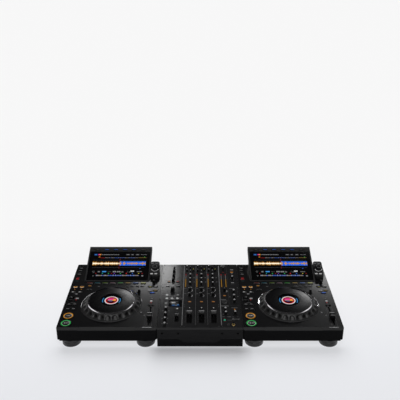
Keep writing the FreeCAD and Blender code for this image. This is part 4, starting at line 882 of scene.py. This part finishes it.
# ---- keys
PAD_TONES = ("pad_red", "pad_teal", "pad_lime", "pad_rose", "pad_green", "pad_orange", "pad_blue", "pad_yellow")
KEY_TONES = {
    # form, cap finish, light finish: places of the keys
    ("crescent", "key", "lit_amber"): ((-146.5, 251), (-123, 251)),
    ("corner", "key", "cap_light"): ((-147, 216), (-122.5, 216)),
    ("lens", "key", "cap"): ((-148, 136.5), (-129, 136.5), (-147.5, 109), (-128.5, 109)),
    ("slit", "key", "cap"): ((-149, 381), (-149, 365), (-149, 338)),
    ("bar", "key", "lit_red"): ((-149, 303.5),),
    ("bar", "key", "lit_amber"): ((-95.5, 256),),
    ("halves", "lit_navy", "lit_yellow"): ((125.5, 254),),
    ("bar", "key", "cap"): ((145.5, 254),),
    ("bar", "grey", "cap"): ((126.5, 226.5),),
    ("bar", "key", "pad_orange"): ((146, 226.5),),
    ("bar", "key", "lit_blue"): ((136.2, 210.5),),
    ("round", "key", None): ((136.5, 174),),
    ("round", "silver", None): ((136.5, 158.5),),
    ("round", "grey", None): ((107, 88),),
}
MIXER_TONES = {
    # form, cap finish, light finish: places of the keys
    ("dash", "key", "key_amber"): ((-36.2, 154), (5.3, 154), (46.8, 154), (87.3, 191.7)),
    ("round", "silver", None): ((-117.1, 197), (-117.1, 175), (-98.8, 175), (-80.1, 175)),
    ("round", "grey", None): ((-78.7, 197), (-119, 145.5)),
    ("round", "grey", "cap_light"): ((-78.3, 112),),
    ("round", "lit_teal", None): ((82.5, 46.5),),
    ("lens", "key", "lit_orange"): ((-114, 285),),
    ("lens", "key", "lit_red"): ((-83, 285),),
    ("lens", "key", "silver"): ((-117.5, 255), (-79, 255)),
    ("bar", "grey", None): ((-98.5, 255),),
    ("bar", "key", "lit_orange"): ((120, 351.5),),
}


def tones_at(x, y, table):
    """The form and finishes of the key nearest to a place."""
    far, tones = min(((min(math.dist(spot, (x, y)) for spot in spots), tones) for tones, spots in table.items()),
                     key=lambda found: found[0])
    return tones if far < 4.0 else ("bar", "key", None)


def round_key(build, radius, low, top, cap, lamp, form, at):
    """Round key; a crescent key has its lamp in the far half and a painted highlight, a silver lip, along the near
    edge.
    """
    rim = min(0.9, radius * 0.2)
    build.add(turned(eased([(0, low), (radius, low), (radius, top), (radius - rim, top),
                            (radius - rim * 1.4, top - 0.3), (0, top - 0.15)], 0.3), 40), cap, at)
    if form == "crescent":
        build.add(band(radius * 0.3, radius * 0.74, top - 0.2, top + 0.1, 20, 220, 160), lamp, at)
        # painted highlight: a silver lip along the near edge only
        build.add(band(radius * 0.76, radius * 0.97, top - 0.1, top + 0.15, 20, 140, 200), "silver", at)
    elif form == "dash":
        build.add(bar(-radius * 0.85, radius * 0.85, -radius * 0.4, radius * 0.3, top - 0.15, 0.2), lamp, at)
    elif lamp:
        build.add(disc(radius * 0.42, top - 0.2, top + 0.1, 0, 20), lamp, at)


def lens_key(build, r, flat, low, top, cap, lamp, at):
    """Lens-shaped key with a light upper edge."""
    build.add(turned(eased([(0, low), (r, low), (r, top - 0.5), (r - 0.7, top), (0, top)], 0.3), 40), cap, at @ flat)
    build.add(band(r * 0.5, r * 0.84, top - 0.1, top + 0.12, 16, 100, 40), lamp, at @ flat)


LAMP_WINDOWS = {
    # form: x from and to as shares of the half width, y as shares of the half depth, thickness
    "slit": (-0.7, 0.7, -0.25, 0.2, 0.08), "halves": (-0.3, 0.5, -0.6, -0.15, 0.1), "bar": (-0.7, 0.7, -0.3, 0.55, 0.1),
}


def key_shapes(build, row, table, place):
    """One key cap with its lamp."""
    x, y, w, d, low, top, is_round = row
    form, cap, lamp = tones_at(x, y, table)
    at = place @ shifted(x, y)
    if is_round:
        round_key(build, w, low, top, cap, lamp, form, at)
        return
    if form == "lens":
        lens_key(build, w, Matrix.Diagonal((1, d / w, 1, 1)), low, top, cap, lamp, at)
        return
    body = "key" if form in ("corner", "halves") else cap
    build.add(block(-w, w, -d, d, low, top, min(w, d) * 0.45, 0.5), body, at)
    if form == "corner":
        build.add(bar(-w + 0.8, w * 0.1, -d * 0.3, d * 0.5, top, 0.1), lamp, at)
    elif lamp:
        if form == "halves":
            build.add(bar(-w * 0.3, w * 0.7, d * 0.25, d * 0.75, top, 0.1), cap, at)
        x0, x1, y0, y1, thick = LAMP_WINDOWS[form]
        build.add(bar(w * x0, w * x1, d * y0, d * y1, top, thick), lamp, at)
    elif cap == "key":
        build.add(bar(-w * 0.5, w * 0.5, -d * 0.1, d * 0.1, top, 0.06), "print_dim", at)


def ring_key(side, kind, lamp):
    """Large round key with a lit ring and a mark on its face."""
    node = "%s_%s_key" % (side, kind)
    x, y, r, _, base, top = deck_box(*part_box(node))
    at = on_deck() @ shifted(x, y)
    build = Build()
    build.add(turned(eased([(0, base), (r, base), (r, top - 0.3), (r - 0.8, top), (r - 0.9, top - 0.5),
                            (0, top - 0.8)], 0.3), 72), "key", at)
    build.add(turned([(r - 3.4, top - 0.9), (r - 1.0, top - 0.9), (r - 1.0, top + 0.02), (r - 2.2, top + 0.12),
                      (r - 3.4, top - 0.4)], 72, True), lamp, at)
    build.add(disc(r - 4.2, top - 1.0, top - 0.35, 0.4, 64), "silver", at)
    build.add(disc(r - 4.9, top - 0.6, top - 0.2, 0.2, 64), "key", at)
    if kind == "play":
        build.add(disc(3.6, 0, 0.1, 0, 3), "print", at @ shifted(-3.6, 0, top - 0.2))
        bars, wide, deep = (2.2, 4.8), 1.3, 3.0
    else:
        bars, wide, deep = (-6.0, -1.8, 2.4), 3.4, 1.5
    for bx in bars:
        build.add(bar(bx, bx + wide, -deep, deep, top - 0.2, 0.1), "print", at)
    build.own_piece(node + "_top", node)


def make_player_keys():
    """Deck keys, pads, cue keys and play keys of both players."""
    for side in SIDES:
        place = on_deck(CENTRES[side])
        keys = Build()
        for row in solids(side + "_deck_keys", CENTRES[side]):
            key_shapes(keys, row, KEY_TONES, place)
        keys.own_piece(side + "_deck_key_tops", side + "_deck_keys")
        pads = Build()
        for (x, y, w, d, low, top, _), tone in zip(sorted(solids(side + "_hot_cue_pads", CENTRES[side])), PAD_TONES):
            at = place @ shifted(x, y)
            pads.add(block(-w, w, -d, d, low, top, 2.2, 0.6), "key", at)
            pads.add(block(-w + 1.0, w - 1.0, d * 0.1, d - 0.8, top - 0.3, top + 0.12, 1.2, 0.1), tone, at)
        pads.own_piece(side + "_pad_tops", side + "_hot_cue_pads")
        ring_key(side, "cue", "lit_amber")
        ring_key(side, "play", "lit_green")


# ---- levers and faders
def make_levers():
    """Direction levers, with a light arrow on the near slope."""
    for side in SIDES:
        node = side + "_direction_lever"
        build = Build()
        rounded_copy(build, node, "key", 0.7, 5.0)
        x, y, _, _, _, top = deck_box(*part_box(node))
        at = on_deck() @ shifted(x + 2.4, y, top) @ Matrix.Diagonal((1.0, 0.5, 1, 1))
        build.add(disc(3.0, 0, 0.12, 0, 3), "silver", at)
        build.own_piece(side + "_lever_grip", node)


def fader_cap(name, node, sink, lines):
    """Fader cap pulled from its side view, on its stem, with painted highlights along its crests and a printed line in
    its valley where one is given.
    """
    x, y, w, d, low, top = deck_box(*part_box(node))
    at = on_deck() @ shifted(x, y)
    base, valley = 0.6 - sink, top * 0.72
    outline = [(-d, base), (-d + 0.9, top - 1.2), (-d + 2.0, top), (-d + 3.4, top), (-1.4, valley), (1.4, valley),
               (d - 3.4, top), (d - 2.0, top), (d - 0.9, top - 1.2), (d, base)]
    cap = bmesh.new()
    pulled(cap, cap.faces.new([cap.verts.new((-w, along, z)) for along, z in eased(outline, 0.5)]), (2 * w, 0, 0))
    bevel(cap, [e for e in cap.edges if e.calc_face_angle(0) > 1.2], 0.5, 2)
    build = Build()
    build.add(cap, "key", at)
    # painted highlights: lines at the cap's top height lie along its crests; lower lines are printed in its valley
    for along, wide, z, finish in lines:
        build.add(block(-w * 0.93, w * 0.93, along - wide / 2, along + wide / 2, top - z - 0.12, top - z + 0.12),
                  finish, at)
    build.add(block(-1.3, 1.3, -3.0, 3.0, low, base + 0.5), "steel", at)
    build.own_piece(name, node)


def make_faders():
    """Fader caps with painted highlights along their crests and, on the mixer's caps, printed lines in their valleys.
    """
    for side in SIDES:
        fader_cap(side + "_tempo_cap", side + "_tempo_fader", 1.0,
                  ((7.2, 1.3, 0.0, "silver"), (-7.2, 1.3, 0.0, "grey")))
    for number in CHANNELS:
        node = "channel%d_fader" % number
        fader_cap(node + "_cap", node, 0.0, ((3.2, 1.5, 0.0, "grey"), (0.0, 2.4, 2.7, "cap")))
    fader_cap("effect_fader_cap", "effect_fader", 0.0, ((3.2, 1.5, 0.0, "cap"), (0.0, 2.4, 2.7, "cap_light")))


# ---- mixer deck
JACK_X, JACK_Y = 111.0, 19.5
RIBS = ((-60.0, "rib", 1.3), (-15.5, "rib_dark", 0.9), (26.0, "rib_dark", 0.9), (71.0, "rib", 1.3))
PANEL_SCREWS = ((-136.9, 404.0), (-137.1, 345.6), (-136.0, 247.5))
RIB_FRONT, RIB_REAR = 16.0, 401.0
EFFECT_DISPLAY = (-110, -63, 125, 167)
METER_LAMPS, METER_LENGTH, METER_RED = 26, 91.0, 3      # the last lamps are red
PICTURE_BLACK = {
    # black printed step round the effect display and its keys
    "glass": ((-118.25, 132.25, 15.5, 14.5), (-125.5, 145.5, 1, 12), (-111.75, 145.5, 2.5, 12),
        (-118.25, 152.25, 15.5, 1.5), (-82.75, 168.25, 40.5, 1.5), (-82.75, 182, 40.5, 2), (-89.5, 175, 7, 12),
        (-68.35, 175, 11.7, 12)),
}
PICTURE_LINES = {
    # on the effect display
    "lit_dim": ((-89, 158.75, 22, 1.5), (-87, 155.5, 24, 1.8), (-96, 140.5, 8, 3)),
    "lit_sky": ((-92, 136, 8, 2), (-76.5, 137, 7, 2)),
    "lit_grey": ((-84, 134.5, 8, 2), (-82, 141.8, 16, 1.6)),
    "lit_navy": ((-85.5, 131.05, 29, 1.1),),
}


def level_meter(build, x, y, quiet, place):
    """Upright row of small lamps behind a dark window."""
    build.add(block(x - 2.0, x + 2.0, y - 46.5, y + 46.5, -3.0, -0.6), "hole", place)
    for i in range(METER_LAMPS):
        s = y + METER_LENGTH * ((i + 0.5) / METER_LAMPS - 0.5)
        tone = "meter_amber" if i < METER_LAMPS * quiet else "meter_grey"
        tone = "meter_red" if i >= METER_LAMPS - METER_RED else tone
        build.add(bar(x - 1.5, x + 1.5, s - 1.45, s + 1.45, -0.6, 0.25), tone, place)


def socket_ring(build, inner, outer, height, finish, place):
    """Turned nut round a socket."""
    outline = [(inner, 0.0), (outer, 0.0), (outer, height * 0.6), (outer - 0.6, height), (inner, height)]
    build.add(turned(eased(outline, 0.2, True), 40, True), finish, place)


def make_mixer_deck():
    """Mixer keys, rib tops, the effect display, the level meters and the sockets' nuts."""
    place = on_deck()
    keys = Build()
    for row in solids("mixer_keys"):
        key_shapes(keys, row, MIXER_TONES, place)
    keys.own_piece("mixer_key_tops", "mixer_keys")
    ribs = Build()
    for x, finish, half in RIBS:
        ribs.add(block(x - half, x + half, RIB_FRONT, RIB_REAR, 0.75, 1.0, 0.4, 0.1), finish, place)
    ribs.piece("rib_tops", None)
    glass = Build()
    for x, y, half, _, _, top, _ in solids("mixer_displays"):
        if half > 10:
            glass.add(block(*EFFECT_DISPLAY, -3.0, top, 0.0, 0.15), "glass", place)
        else:
            level_meter(glass, x, y, 0.6 if x < 75 else 0.56, place)
    glass.marks(PICTURE_LINES, place, -0.32, 0.1)
    glass.piece("display_faces", "mixer_displays")
    trim = Build()
    trim.marks(PICTURE_BLACK, place, 0.0, 0.08)
    large, small = place @ shifted(JACK_X, JACK_Y), place @ shifted(JACK_X - 17.0, JACK_Y)
    socket_ring(trim, 3.3, 5.7, 1.5, "gold", large @ shifted(0, 0, 0.3))
    socket_ring(trim, 1.7, 3.6, 1.1, "rib_dark", small)
    trim.add(disc(1.7, 0.0, 0.1, 0, 20), "hole", small)
    trim.add(block(107, 132, 44, 55, 0.0, 1.0, 4.0, 0.4), "key", place)
    trim.add(block(113, 126, 48.4, 50.4, 1.0, 1.1), "print_faint", place)
    for x, y in PANEL_SCREWS:
        trim.add(disc(2.4, 0.0, 0.5, 0.2, 20), "hole", place @ shifted(x, y))
    trim.piece("mixer_trim", None)


# ---- printing, and painted shade along the mixer's fader slots
PLAYER_PRINT = {
    # finish: x, y, width, depth of each mark
    "print_dim": ((-137, 207, 16, 1.4), (136, 187, 18, 1.4), (-62, 255, 8, 3), (106, 95, 8, 1.2), (-95, 264, 12, 1.2),
        (-137, 150, 16, 1.6), (-149, 352, 10, 1.2), (-93.5, 238, 16, 1), (88.5, 226, 12, 1.2)),
    "print": ((119, 75, 5, 1.4), (132.6, 6.5, 30, 2.2), (-134.7, 205, 8, 3)),
    "cap": ((-127, 177, 11, 7.5),),
    "hole": ((136.5, 148.5, 18, 3),),
    "lit_deep_red": ((-149, 316, 10, 2.4),),
    "lit_teal_dim": ((-149, 293, 10, 2.2),),
    "print_faint": ((-137, 122, 14, 1), (-137, 91, 18, 1.2), (-137, 48, 18, 1.2)),
}
PLAYER_LAMPS = ((-129, 168, "lit_red"), (-146.5, 236, "lit_amber"), (-123, 236, "lit_amber"), (136.5, 150, "lit_red"))
MIXER_PRINT = {
    # small print, and the thin frames
    "print": ((-100.3, 403.9, 18, 2.2), (-133.7, 389.8, 6, 3), (87.2, 401.9, 16, 2.6), (121.4, 373.5, 12, 2.2),
        (120, 281.5, 11, 2.2)),
    "print_faint": ((-83.5, 314.9, 7, 3), (-114, 294, 12, 1.4), (122, 403, 10, 1.4), (135.9, 219, 3, 3),
        (127, 65.6, 5, 2), (99, 46.7, 16, 2.6), (95.2, 27.5, 8, 1.6), (-79, 119.5, 18, 1.4), (-64.9, 11, 4, 1.6),
        (-52.7, 11, 4, 1.6), (62.3, 11, 4, 1.6), (73.7, 11, 4, 1.6), (101.5, 272, 0.6, 262.6),
        (120.25, 133, 38.1, 0.6), (5.5, 239.5, 127.6, 0.6), (5.5, 204.5, 127.6, 0.6), (76.75, 239.5, 7.1, 0.6),
        (-137.5, 268, 3.6, 0.6), (87, 297.5, 0.6, 93.6)),
    "print_dim": ((-81.2, 295, 14, 2), (-130.3, 267.4, 12, 2.6), (-130.7, 203.4, 11, 2.6), (-98, 197, 9, 2.4),
        (-83, 273, 14, 2), (121.4, 366.5, 12, 2.2), (120, 273.5, 11, 2.2), (112.3, 240.5, 13, 2.2),
        (135.9, 245.7, 3, 3), (134.6, 188, 4, 3), (106, 187, 3, 3), (82.8, 169.4, 18, 2.6), (82.7, 165, 14, 1.8),
        (92.8, 160.5, 6, 2.6), (82.2, 154.3, 12, 1.8), (91, 150, 6, 2.2), (87.5, 146.1, 10, 1.8), (78.8, 80.4, 3, 3),
        (94.1, 80.4, 3, 3), (79.1, 65.6, 8, 2), (98, 65.6, 13, 2.4), (119.6, 118.4, 22, 2.2), (112.4, 65.6, 5, 2),
        (-127.9, 100.8, 4, 2.4), (-106.9, 100.8, 4, 2.4), (-127, 54.8, 4, 3), (-109.5, 55.8, 4, 3),
        (-126, 27.2, 4, 2.6), (-108.7, 27.2, 4, 2.6), (-53.4, 136.2, 2.5, 2.5), (-53.2, 124.8, 2.5, 2.5),
        (64.4, 136.2, 2.5, 2.5), (64.6, 124.8, 2.5, 2.5)),
    "meter_red": ((88.2, 354.2, 6, 2),),
    "cap": ((120.6, 344, 5, 2),),
    "rib": ((86, 129.7, 27, 3),),
    "lit_deep_red": ((82.9, 53.5, 8, 0.8), (82.9, 39.5, 8, 0.8)),
}
CHANNEL_PRINT = {
    # labels of a channel strip, from its middle
    "print_dim": ((-17, 242.5, 9, 2), (-16.5, 207.5, 8, 2), (14, 314.9, 5, 3), (14.8, 285.7, 5, 3),
        (-13.5, 372, 5, 1.4)),
    "print": ((-4.5, 248, 4, 2.6), (4.5, 248, 4, 2.6), (-4, 213.2, 6, 2.6)),
    "print_faint": ((13.5, 350, 5, 1.6), (-13.5, 350, 5, 1.6)),
}


TICKS, TICK_SWEEP = 11, 300
TEMPO_X, TEMPO_START, TEMPO_STEP = 124.2, 20.0, 5.5
TEMPO_TICKS = (3.6, 2, 2, 2, 2) * 4 + (3.6,)
FADER_START, FADER_STEP = 36.0, 6.2


def tick_ring(build, x, y, radius, finish, place):
    """Scale round a knob, open towards the user."""
    for i in range(TICKS):
        turn = TICK_SWEEP * (0.5 - i / (TICKS - 1))
        at = place @ shifted(x, y) @ Matrix.Rotation(math.radians(turn), 4, "Z")
        build.add(bar(-0.3, 0.3, radius + 1.2, radius + (2.2 if i % 5 else 2.9), 0, 0.05), finish, at)


def knob_arc(build, x, y, place):
    """Bright arc at one side of a knob."""
    build.add(band(8.0, 9.8, 0.0, 0.3, 14, 95, -62), "cap", place @ shifted(x, y))


def player_printing(side):
    """Labels, the tempo scale and track, and the lamps of one player."""
    place = on_deck(CENTRES[side])
    build = Build()
    build.marks(PLAYER_PRINT, place)
    labels = [(x, y + d + 2.4, w * 1.2, 1.2) for x, y, w, d, _, _, _ in solids(side + "_deck_keys", CENTRES[side])
              if y < 300 and abs(x) < 130]
    ticks = [(TEMPO_X - long / 2, TEMPO_START + TEMPO_STEP * i, long, 0.5) for i, long in enumerate(TEMPO_TICKS)]
    build.marks({"print_faint": labels, "print_dim": ticks}, place)
    for x in (128.4, 146.6):
        build.add(bar(x - 0.5, x + 0.5, 13.6, 127.5, -1.0, 0.1), "rib_dark", place)
    for x in (128.0, 140.4):
        build.add(block(x, x + 6.6, 128.2, 136.6, -1.0, -0.55, 0.0, 0.1), "hole", place)
    for x, y, tone in PLAYER_LAMPS:
        build.add(disc(1.4, 0.0, 0.5, 0.3, 16), tone, place @ shifted(x, y))
    for x in (-157.4, -136.4):
        build.add(block(x - 0.3, x + 0.3, 159.4, 184.6, 0.0, 0.5, 0.0, 0.15), "rib_dark", place)
    build.piece(side + "_printing")


def channel_print_and_shade(build, place):
    """Scales, labels and knob arcs of one channel strip, and painted shade along its fader slot."""
    for i in range(TICKS):
        long, y = (2.4 if i % 5 else 4.0), FADER_START + FADER_STEP * i
        build.marks({"print_dim": ((-11.0 - long / 2, y, long, 0.6),),
                     "print_faint": ((11.0 + long / 2, y, long, 0.6),)}, place)
    # painted shade: black strips along the fader slot stand in for the cap's shadow
    for x0, x1 in ((-9.0, -2.4), (2.4, 9.0)):
        build.add(bar(x0, x1, 30.5, 98.5, 0.0, 0.06), "hole", place)
    build.add(disc(1.7, 0.0, 0.4, 0.2, 16), "cap_light", place @ shifted(0.3, 119.0))
    build.add(bar(-9.5, 9.5, 100.5, 102.3, 0.0, 0.1), "print", place)
    build.marks(CHANNEL_PRINT, place)
    for y in (229.0, 194.0):
        knob_arc(build, 0, y, place)
        build.add(band(8.0, 9.4, 0.0, 0.2, 8, 40, 160), "print_faint", place @ shifted(0, y))


def mixer_printing():
    """Labels, frames, scales and knob rings of the mixer, and painted shade along its faders' slots."""
    place = on_deck()
    build = Build()
    build.marks(MIXER_PRINT, place)
    for x, y, r, _, _, _, _ in solids("mixer_small_knobs"):
        if r > 6 and abs(x) > 80:
            tick_ring(build, x, y, r, "print" if y > 300 and x > 0 else "print_faint", place)
    for channel in CHANNELS.values():
        channel_print_and_shade(build, place @ shifted(channel, 0))
        for tone in TONES:
            y = (middle("channel1_%s_knob" % tone).y - FRONT) / MM
            tick_ring(build, channel, y, 5.8, "print_faint", place)
    knob_arc(build, 88.6, 225, place)
    build.marks({"print_dim": [(-87.5, 38.0 + 8.0 * i, 3.0, 0.7) for i in range(7)]}, place)
    # painted shade: black strips along this fader's slot stand in for its cap's shadow
    for x0, x1 in ((-85.2, -80.9), (-76.1, -71.8)):
        build.add(bar(x0, x1, 38.0, 86.0, 0.0, 0.06), "hole", place)
    build.add(block(118.4, 120.4, 107.0, 111.0, 0.0, 0.3), "lit_orange", place)
    build.piece("mixer_printing")


def make_printing():
    """Small print by the keys, scales by the faders, painted shade along the mixer's fader slots, tick rings round the
    knobs, and indicator lamps.
    """
    for side in SIDES:
        player_printing(side)
    mixer_printing()


# ---- stage
def linked(name, data):
    """A new object in the scene."""
    made = bpy.data.objects.new(name, data)
    bpy.context.scene.collection.objects.link(made)
    return made


def lamp(name, place, aim, energy, size, size_y=None):
    """A lamp that points at a place: a sun of some breadth, or a rectangle."""
    data = bpy.data.lights.new(name, "AREA" if size_y else "SUN")
    data.energy = energy
    if size_y:
        data.shape, data.size, data.size_y = "RECTANGLE", size, size_y
    else:
        data.angle = math.radians(size)
    made = linked(name, data)
    made.location = place
    made.rotation_euler = (Vector(aim) - Vector(place)).to_track_quat("-Z", "Y").to_euler()
    return made


def ramp(paint, along, stops):
    """A colour that follows a number."""
    return paint.node("ShaderNodeValToRGB", {"stops": stops}, {"Fac": along}).outputs[0]


def spread(paint, along, start, end, low, high):
    """A number carried from one range to another."""
    return paint.value("ShaderNodeMapRange", None, {"Value": along, "From Min": start, "From Max": end,
                                                    "To Min": low, "To Max": high})


def make_floor():
    """Pale floor that shows its own colour to the camera and still keeps the console's shadow, with painted shade
    darkening it towards the front and the shadow's strength painted by place.
    """
    lit_share = settings().floor_shadow
    floor = bmesh.new()
    bmesh.ops.create_grid(floor, x_segments=1, y_segments=1, size=60.0)
    mesh = bpy.data.meshes.new("floor")
    floor.to_mesh(mesh)
    floor.free()
    paint = fresh("floor")
    # painted shade: the floor's colour grows darker towards the front, a painted falloff of the light
    tone = ramp(paint, (paint.axis(1) + 0.55) / 1.6,
                ((0.0, (0.79, 0.8, 0.83)), (0.2, (0.83, 0.84, 0.87)), (0.45, (0.9, 0.9, 0.91)),
                 (0.7, (0.935, 0.935, 0.935))))
    path = paint.node("ShaderNodeLightPath").outputs
    seen = sum((Value(paint, path["Is %s Ray" % kind]) for kind in ("Glossy", "Transmission")),
               Value(paint, path["Is Camera Ray"]))
    seen = paint.maths("MINIMUM", seen, 1.0)
    # painted shadow strength: the share of the real, shadowed light shown is set by place, most in front of the mixer,
    # less in front of the players, least under the console
    side = spread(paint, abs(paint.axis(0)), 0.13, 0.18, lit_share, lit_share * 0.45)
    shadow_share = spread(paint, paint.axis(1), FRONT - 2 * MM, FRONT + 12 * MM, side, lit_share * 0.25)
    matt = paint.node("ShaderNodeBsdfDiffuse", None, {"Color": tone})
    glow = paint.node("ShaderNodeEmission", None, {"Color": tone, "Strength": 1.0})
    both = paint.node("ShaderNodeMixShader", None,
                      {0: seen * (1.0 - shadow_share), 1: matt.outputs[0], 2: glow.outputs[0]})
    paint.node("ShaderNodeOutputMaterial", None, {"Surface": both.outputs[0]})
    mesh.materials.append(paint.owner)
    linked("floor", mesh)


CAMERA_LENS, CAMERA_SENSOR = 54.95, 36.0                        # millimetres
CAMERA_BACK, CAMERA_UP, CAMERA_TILT = 1.6493, 1.2846, 65.72     # metres from the front edge, and degrees


def make_stage():
    """Pale floor, plain soft light and the camera."""
    look, scene = settings(), bpy.context.scene
    make_floor()
    scene.world = bpy.data.worlds.new("studio")
    sky = Paint(scene.world)
    up = sky.part(sky.node("ShaderNodeTexCoord").outputs["Generated"], 2)
    tone = ramp(sky, up, [(place, (grey,) * 3) for place, grey in ((0.0, 0.95), (0.17, 0.9), (0.22, 0.05),
                                                                  (0.3, 0.02), (1.0, 0.03))])
    back = sky.node("ShaderNodeBackground", None, {"Color": tone, "Strength": look.sky_light})
    sky.node("ShaderNodeOutputWorld", None, {"Surface": back.outputs[0]})

    lamp("key_light", (0.1, -1.3, 1.75), (0, 0, 0), look.key_light, 40)
    lamp("back_fill", (-0.1, 1.9, 2.3), (0, 0, 0), look.back_fill, 60).visible_glossy = False
    for side, x, aim_x in (("left", -0.44, -0.17), ("right", 1.28, 0.48)):
        box = lamp(side + "_softbox", (x, 3.2, 1.9), (aim_x, 0.1, 0.08), look.softbox, 0.4, 0.34)
        box.visible_diffuse = False
    camera = linked("camera", bpy.data.cameras.new("camera"))
    camera.data.lens, camera.data.sensor_width = CAMERA_LENS, CAMERA_SENSOR
    camera.location = (0.0, FRONT - CAMERA_BACK, CAMERA_UP)
    camera.rotation_euler = (math.radians(CAMERA_TILT), 0.0, 0.0)
    scene.camera = camera
    scene.view_settings.view_transform = "Standard"


# ---- the add-on
def colour_setting(name, description, value):
    return bpy.props.FloatVectorProperty(name=name, description=description, default=value, size=3, min=0.0,
                                         max=1.0, subtype="COLOR")


def amount(name, description, value, most, least=0.0, subtype="NONE"):
    return bpy.props.FloatProperty(name=name, description=description, default=value, min=least, max=most,
                                   subtype=subtype)


class ConsoleLooks(bpy.types.PropertyGroup):
    """Sizes and colours of the console's finishes."""

    deck_colour: colour_setting("Deck", "Moulded top covers of the players", (0.0035, 0.0035, 0.0038))
    wheel_colour: colour_setting("Wheel", "Fluted body of the jog wheels", (0.022, 0.022, 0.0225))
    print_colour: colour_setting("Print", "Small print on the decks", (0.3, 0.3, 0.305))
    amber: colour_setting("Amber lamps", "Cue rings and loop keys", (0.72, 0.3, 0.008))
    green: colour_setting("Green lamps", "Play rings and markers", (0.035, 0.52, 0.1))
    flutes: bpy.props.IntProperty(name="Flutes", description="Finger flutes round a jog wheel", default=26, min=8,
                                  max=60)
    flute_depth: amount("Flute depth", "Depth of a flute, in millimetres", 2.6, 4.0, 0.5)
    floor_shadow: amount("Floor shadow", "How much of the floor's tone is lit", 0.85, 1.0, 0.0, "FACTOR")
    sky_light: amount("Sky light", "Strength of the studio's surroundings", 1.0, 4.0)
    key_light: amount("Key light", "Strength of the soft light overhead", 1.15, 10.0)
    back_fill: amount("Back fill", "Strength of the soft light from the rear", 2.6, 10.0)
    softbox: bpy.props.FloatProperty(name="Softbox", description="Power of the softbox behind the console",
                                     default=8.5, min=0.0, max=500.0, unit="POWER")


class CONSOLE_OT_stage(bpy.types.Operator):
    """Floor, lights and camera"""

    bl_idname = "console.stage"
    bl_label = "Stage"

    def execute(self, context):
        make_stage()
        return {"FINISHED"}


class CONSOLE_OT_casings(bpy.types.Operator):
    """Covers, pans, screen heads, selector blocks and the mixer's front plate"""

    bl_idname = "console.casings"
    bl_label = "Casings"

    def execute(self, context):
        make_casings()
        return {"FINISHED"}


class CONSOLE_OT_feet(bpy.types.Operator):
    """Moulded rubber feet"""

    bl_idname = "console.feet"
    bl_label = "Feet"

    def execute(self, context):
        make_feet()
        return {"FINISHED"}


class CONSOLE_OT_jog_wheels(bpy.types.Operator):
    """Fluted wheels, glossy plates with bright rims, and the rings on the deck"""

    bl_idname = "console.jog_wheels"
    bl_label = "Jog Wheels"

    def execute(self, context):
        make_jog_wheels()
        return {"FINISHED"}


class CONSOLE_OT_centre_displays(bpy.types.Operator):
    """Round displays in the middle of the wheels"""

    bl_idname = "console.centre_displays"
    bl_label = "Centre Displays"

    def execute(self, context):
        make_centre_displays()
        return {"FINISHED"}


class CONSOLE_OT_screens(bpy.types.Operator):
    """Glass faces, their lit pictures and the menu keys"""

    bl_idname = "console.screens"
    bl_label = "Screens"

    def execute(self, context):
        make_screens()
        return {"FINISHED"}


class CONSOLE_OT_selectors(bpy.types.Operator):
    """Selector knobs, their dished rings and the keys round them"""

    bl_idname = "console.selectors"
    bl_label = "Selectors"

    def execute(self, context):
        make_selectors()
        return {"FINISHED"}


class CONSOLE_OT_player_keys(bpy.types.Operator):
    """Deck keys, pads, cue keys and play keys"""

    bl_idname = "console.player_keys"
    bl_label = "Player Keys"

    def execute(self, context):
        make_player_keys()
        return {"FINISHED"}


class CONSOLE_OT_knobs(bpy.types.Operator):
    """Turning knobs and the mixer's fixed small knobs"""

    bl_idname = "console.knobs"
    bl_label = "Knobs"

    def execute(self, context):
        make_knobs()
        return {"FINISHED"}


class CONSOLE_OT_levers(bpy.types.Operator):
    """Direction levers"""

    bl_idname = "console.levers"
    bl_label = "Levers"

    def execute(self, context):
        make_levers()
        return {"FINISHED"}


class CONSOLE_OT_faders(bpy.types.Operator):
    """Fader caps"""

    bl_idname = "console.faders"
    bl_label = "Faders"

    def execute(self, context):
        make_faders()
        return {"FINISHED"}


class CONSOLE_OT_mixer_deck(bpy.types.Operator):
    """Mixer keys, ribs, display, meters and socket nuts"""

    bl_idname = "console.mixer_deck"
    bl_label = "Mixer Deck"

    def execute(self, context):
        make_mixer_deck()
        return {"FINISHED"}


class CONSOLE_OT_printing(bpy.types.Operator):
    """Small print, scales, painted shade by the mixer's faders, and indicator lamps"""

    bl_idname = "console.printing"
    bl_label = "Printing"

    def execute(self, context):
        make_printing()
        return {"FINISHED"}


OPERATORS = (CONSOLE_OT_stage, CONSOLE_OT_casings, CONSOLE_OT_feet, CONSOLE_OT_jog_wheels,
             CONSOLE_OT_centre_displays, CONSOLE_OT_screens, CONSOLE_OT_selectors, CONSOLE_OT_player_keys,
             CONSOLE_OT_knobs, CONSOLE_OT_levers, CONSOLE_OT_faders, CONSOLE_OT_mixer_deck, CONSOLE_OT_printing)


class CONSOLE_PT_looks(bpy.types.Panel):
    """Sidebar panel that lists the console's steps"""

    bl_label = "DJ Console"
    bl_idname = "CONSOLE_PT_looks"
    bl_space_type = "VIEW_3D"
    bl_region_type = "UI"
    bl_category = "Console"

    def draw(self, context):
        look = context.scene.console_looks
        for key in look.bl_rna.properties.keys():
            if key not in ("rna_type", "name"):
                self.layout.prop(look, key)
        for step in OPERATORS:
            self.layout.operator(step.bl_idname)


CLASSES = (ConsoleLooks,) + OPERATORS + (CONSOLE_PT_looks,)


def register():
    for each in CLASSES:
        bpy.utils.register_class(each)
    bpy.types.Scene.console_looks = bpy.props.PointerProperty(type=ConsoleLooks)


def unregister():
    del bpy.types.Scene.console_looks
    for each in reversed(CLASSES):
        bpy.utils.unregister_class(each)


def main():
    register()
    console = bpy.ops.console
    console.stage()
    console.casings()
    console.feet()
    console.jog_wheels()
    console.centre_displays()
    console.screens()
    console.selectors()
    console.player_keys()
    console.knobs()
    console.levers()
    console.faders()
    console.mixer_deck()
    console.printing()
    bpy.context.view_layer.update()


if __name__ == "__main__":
    main()
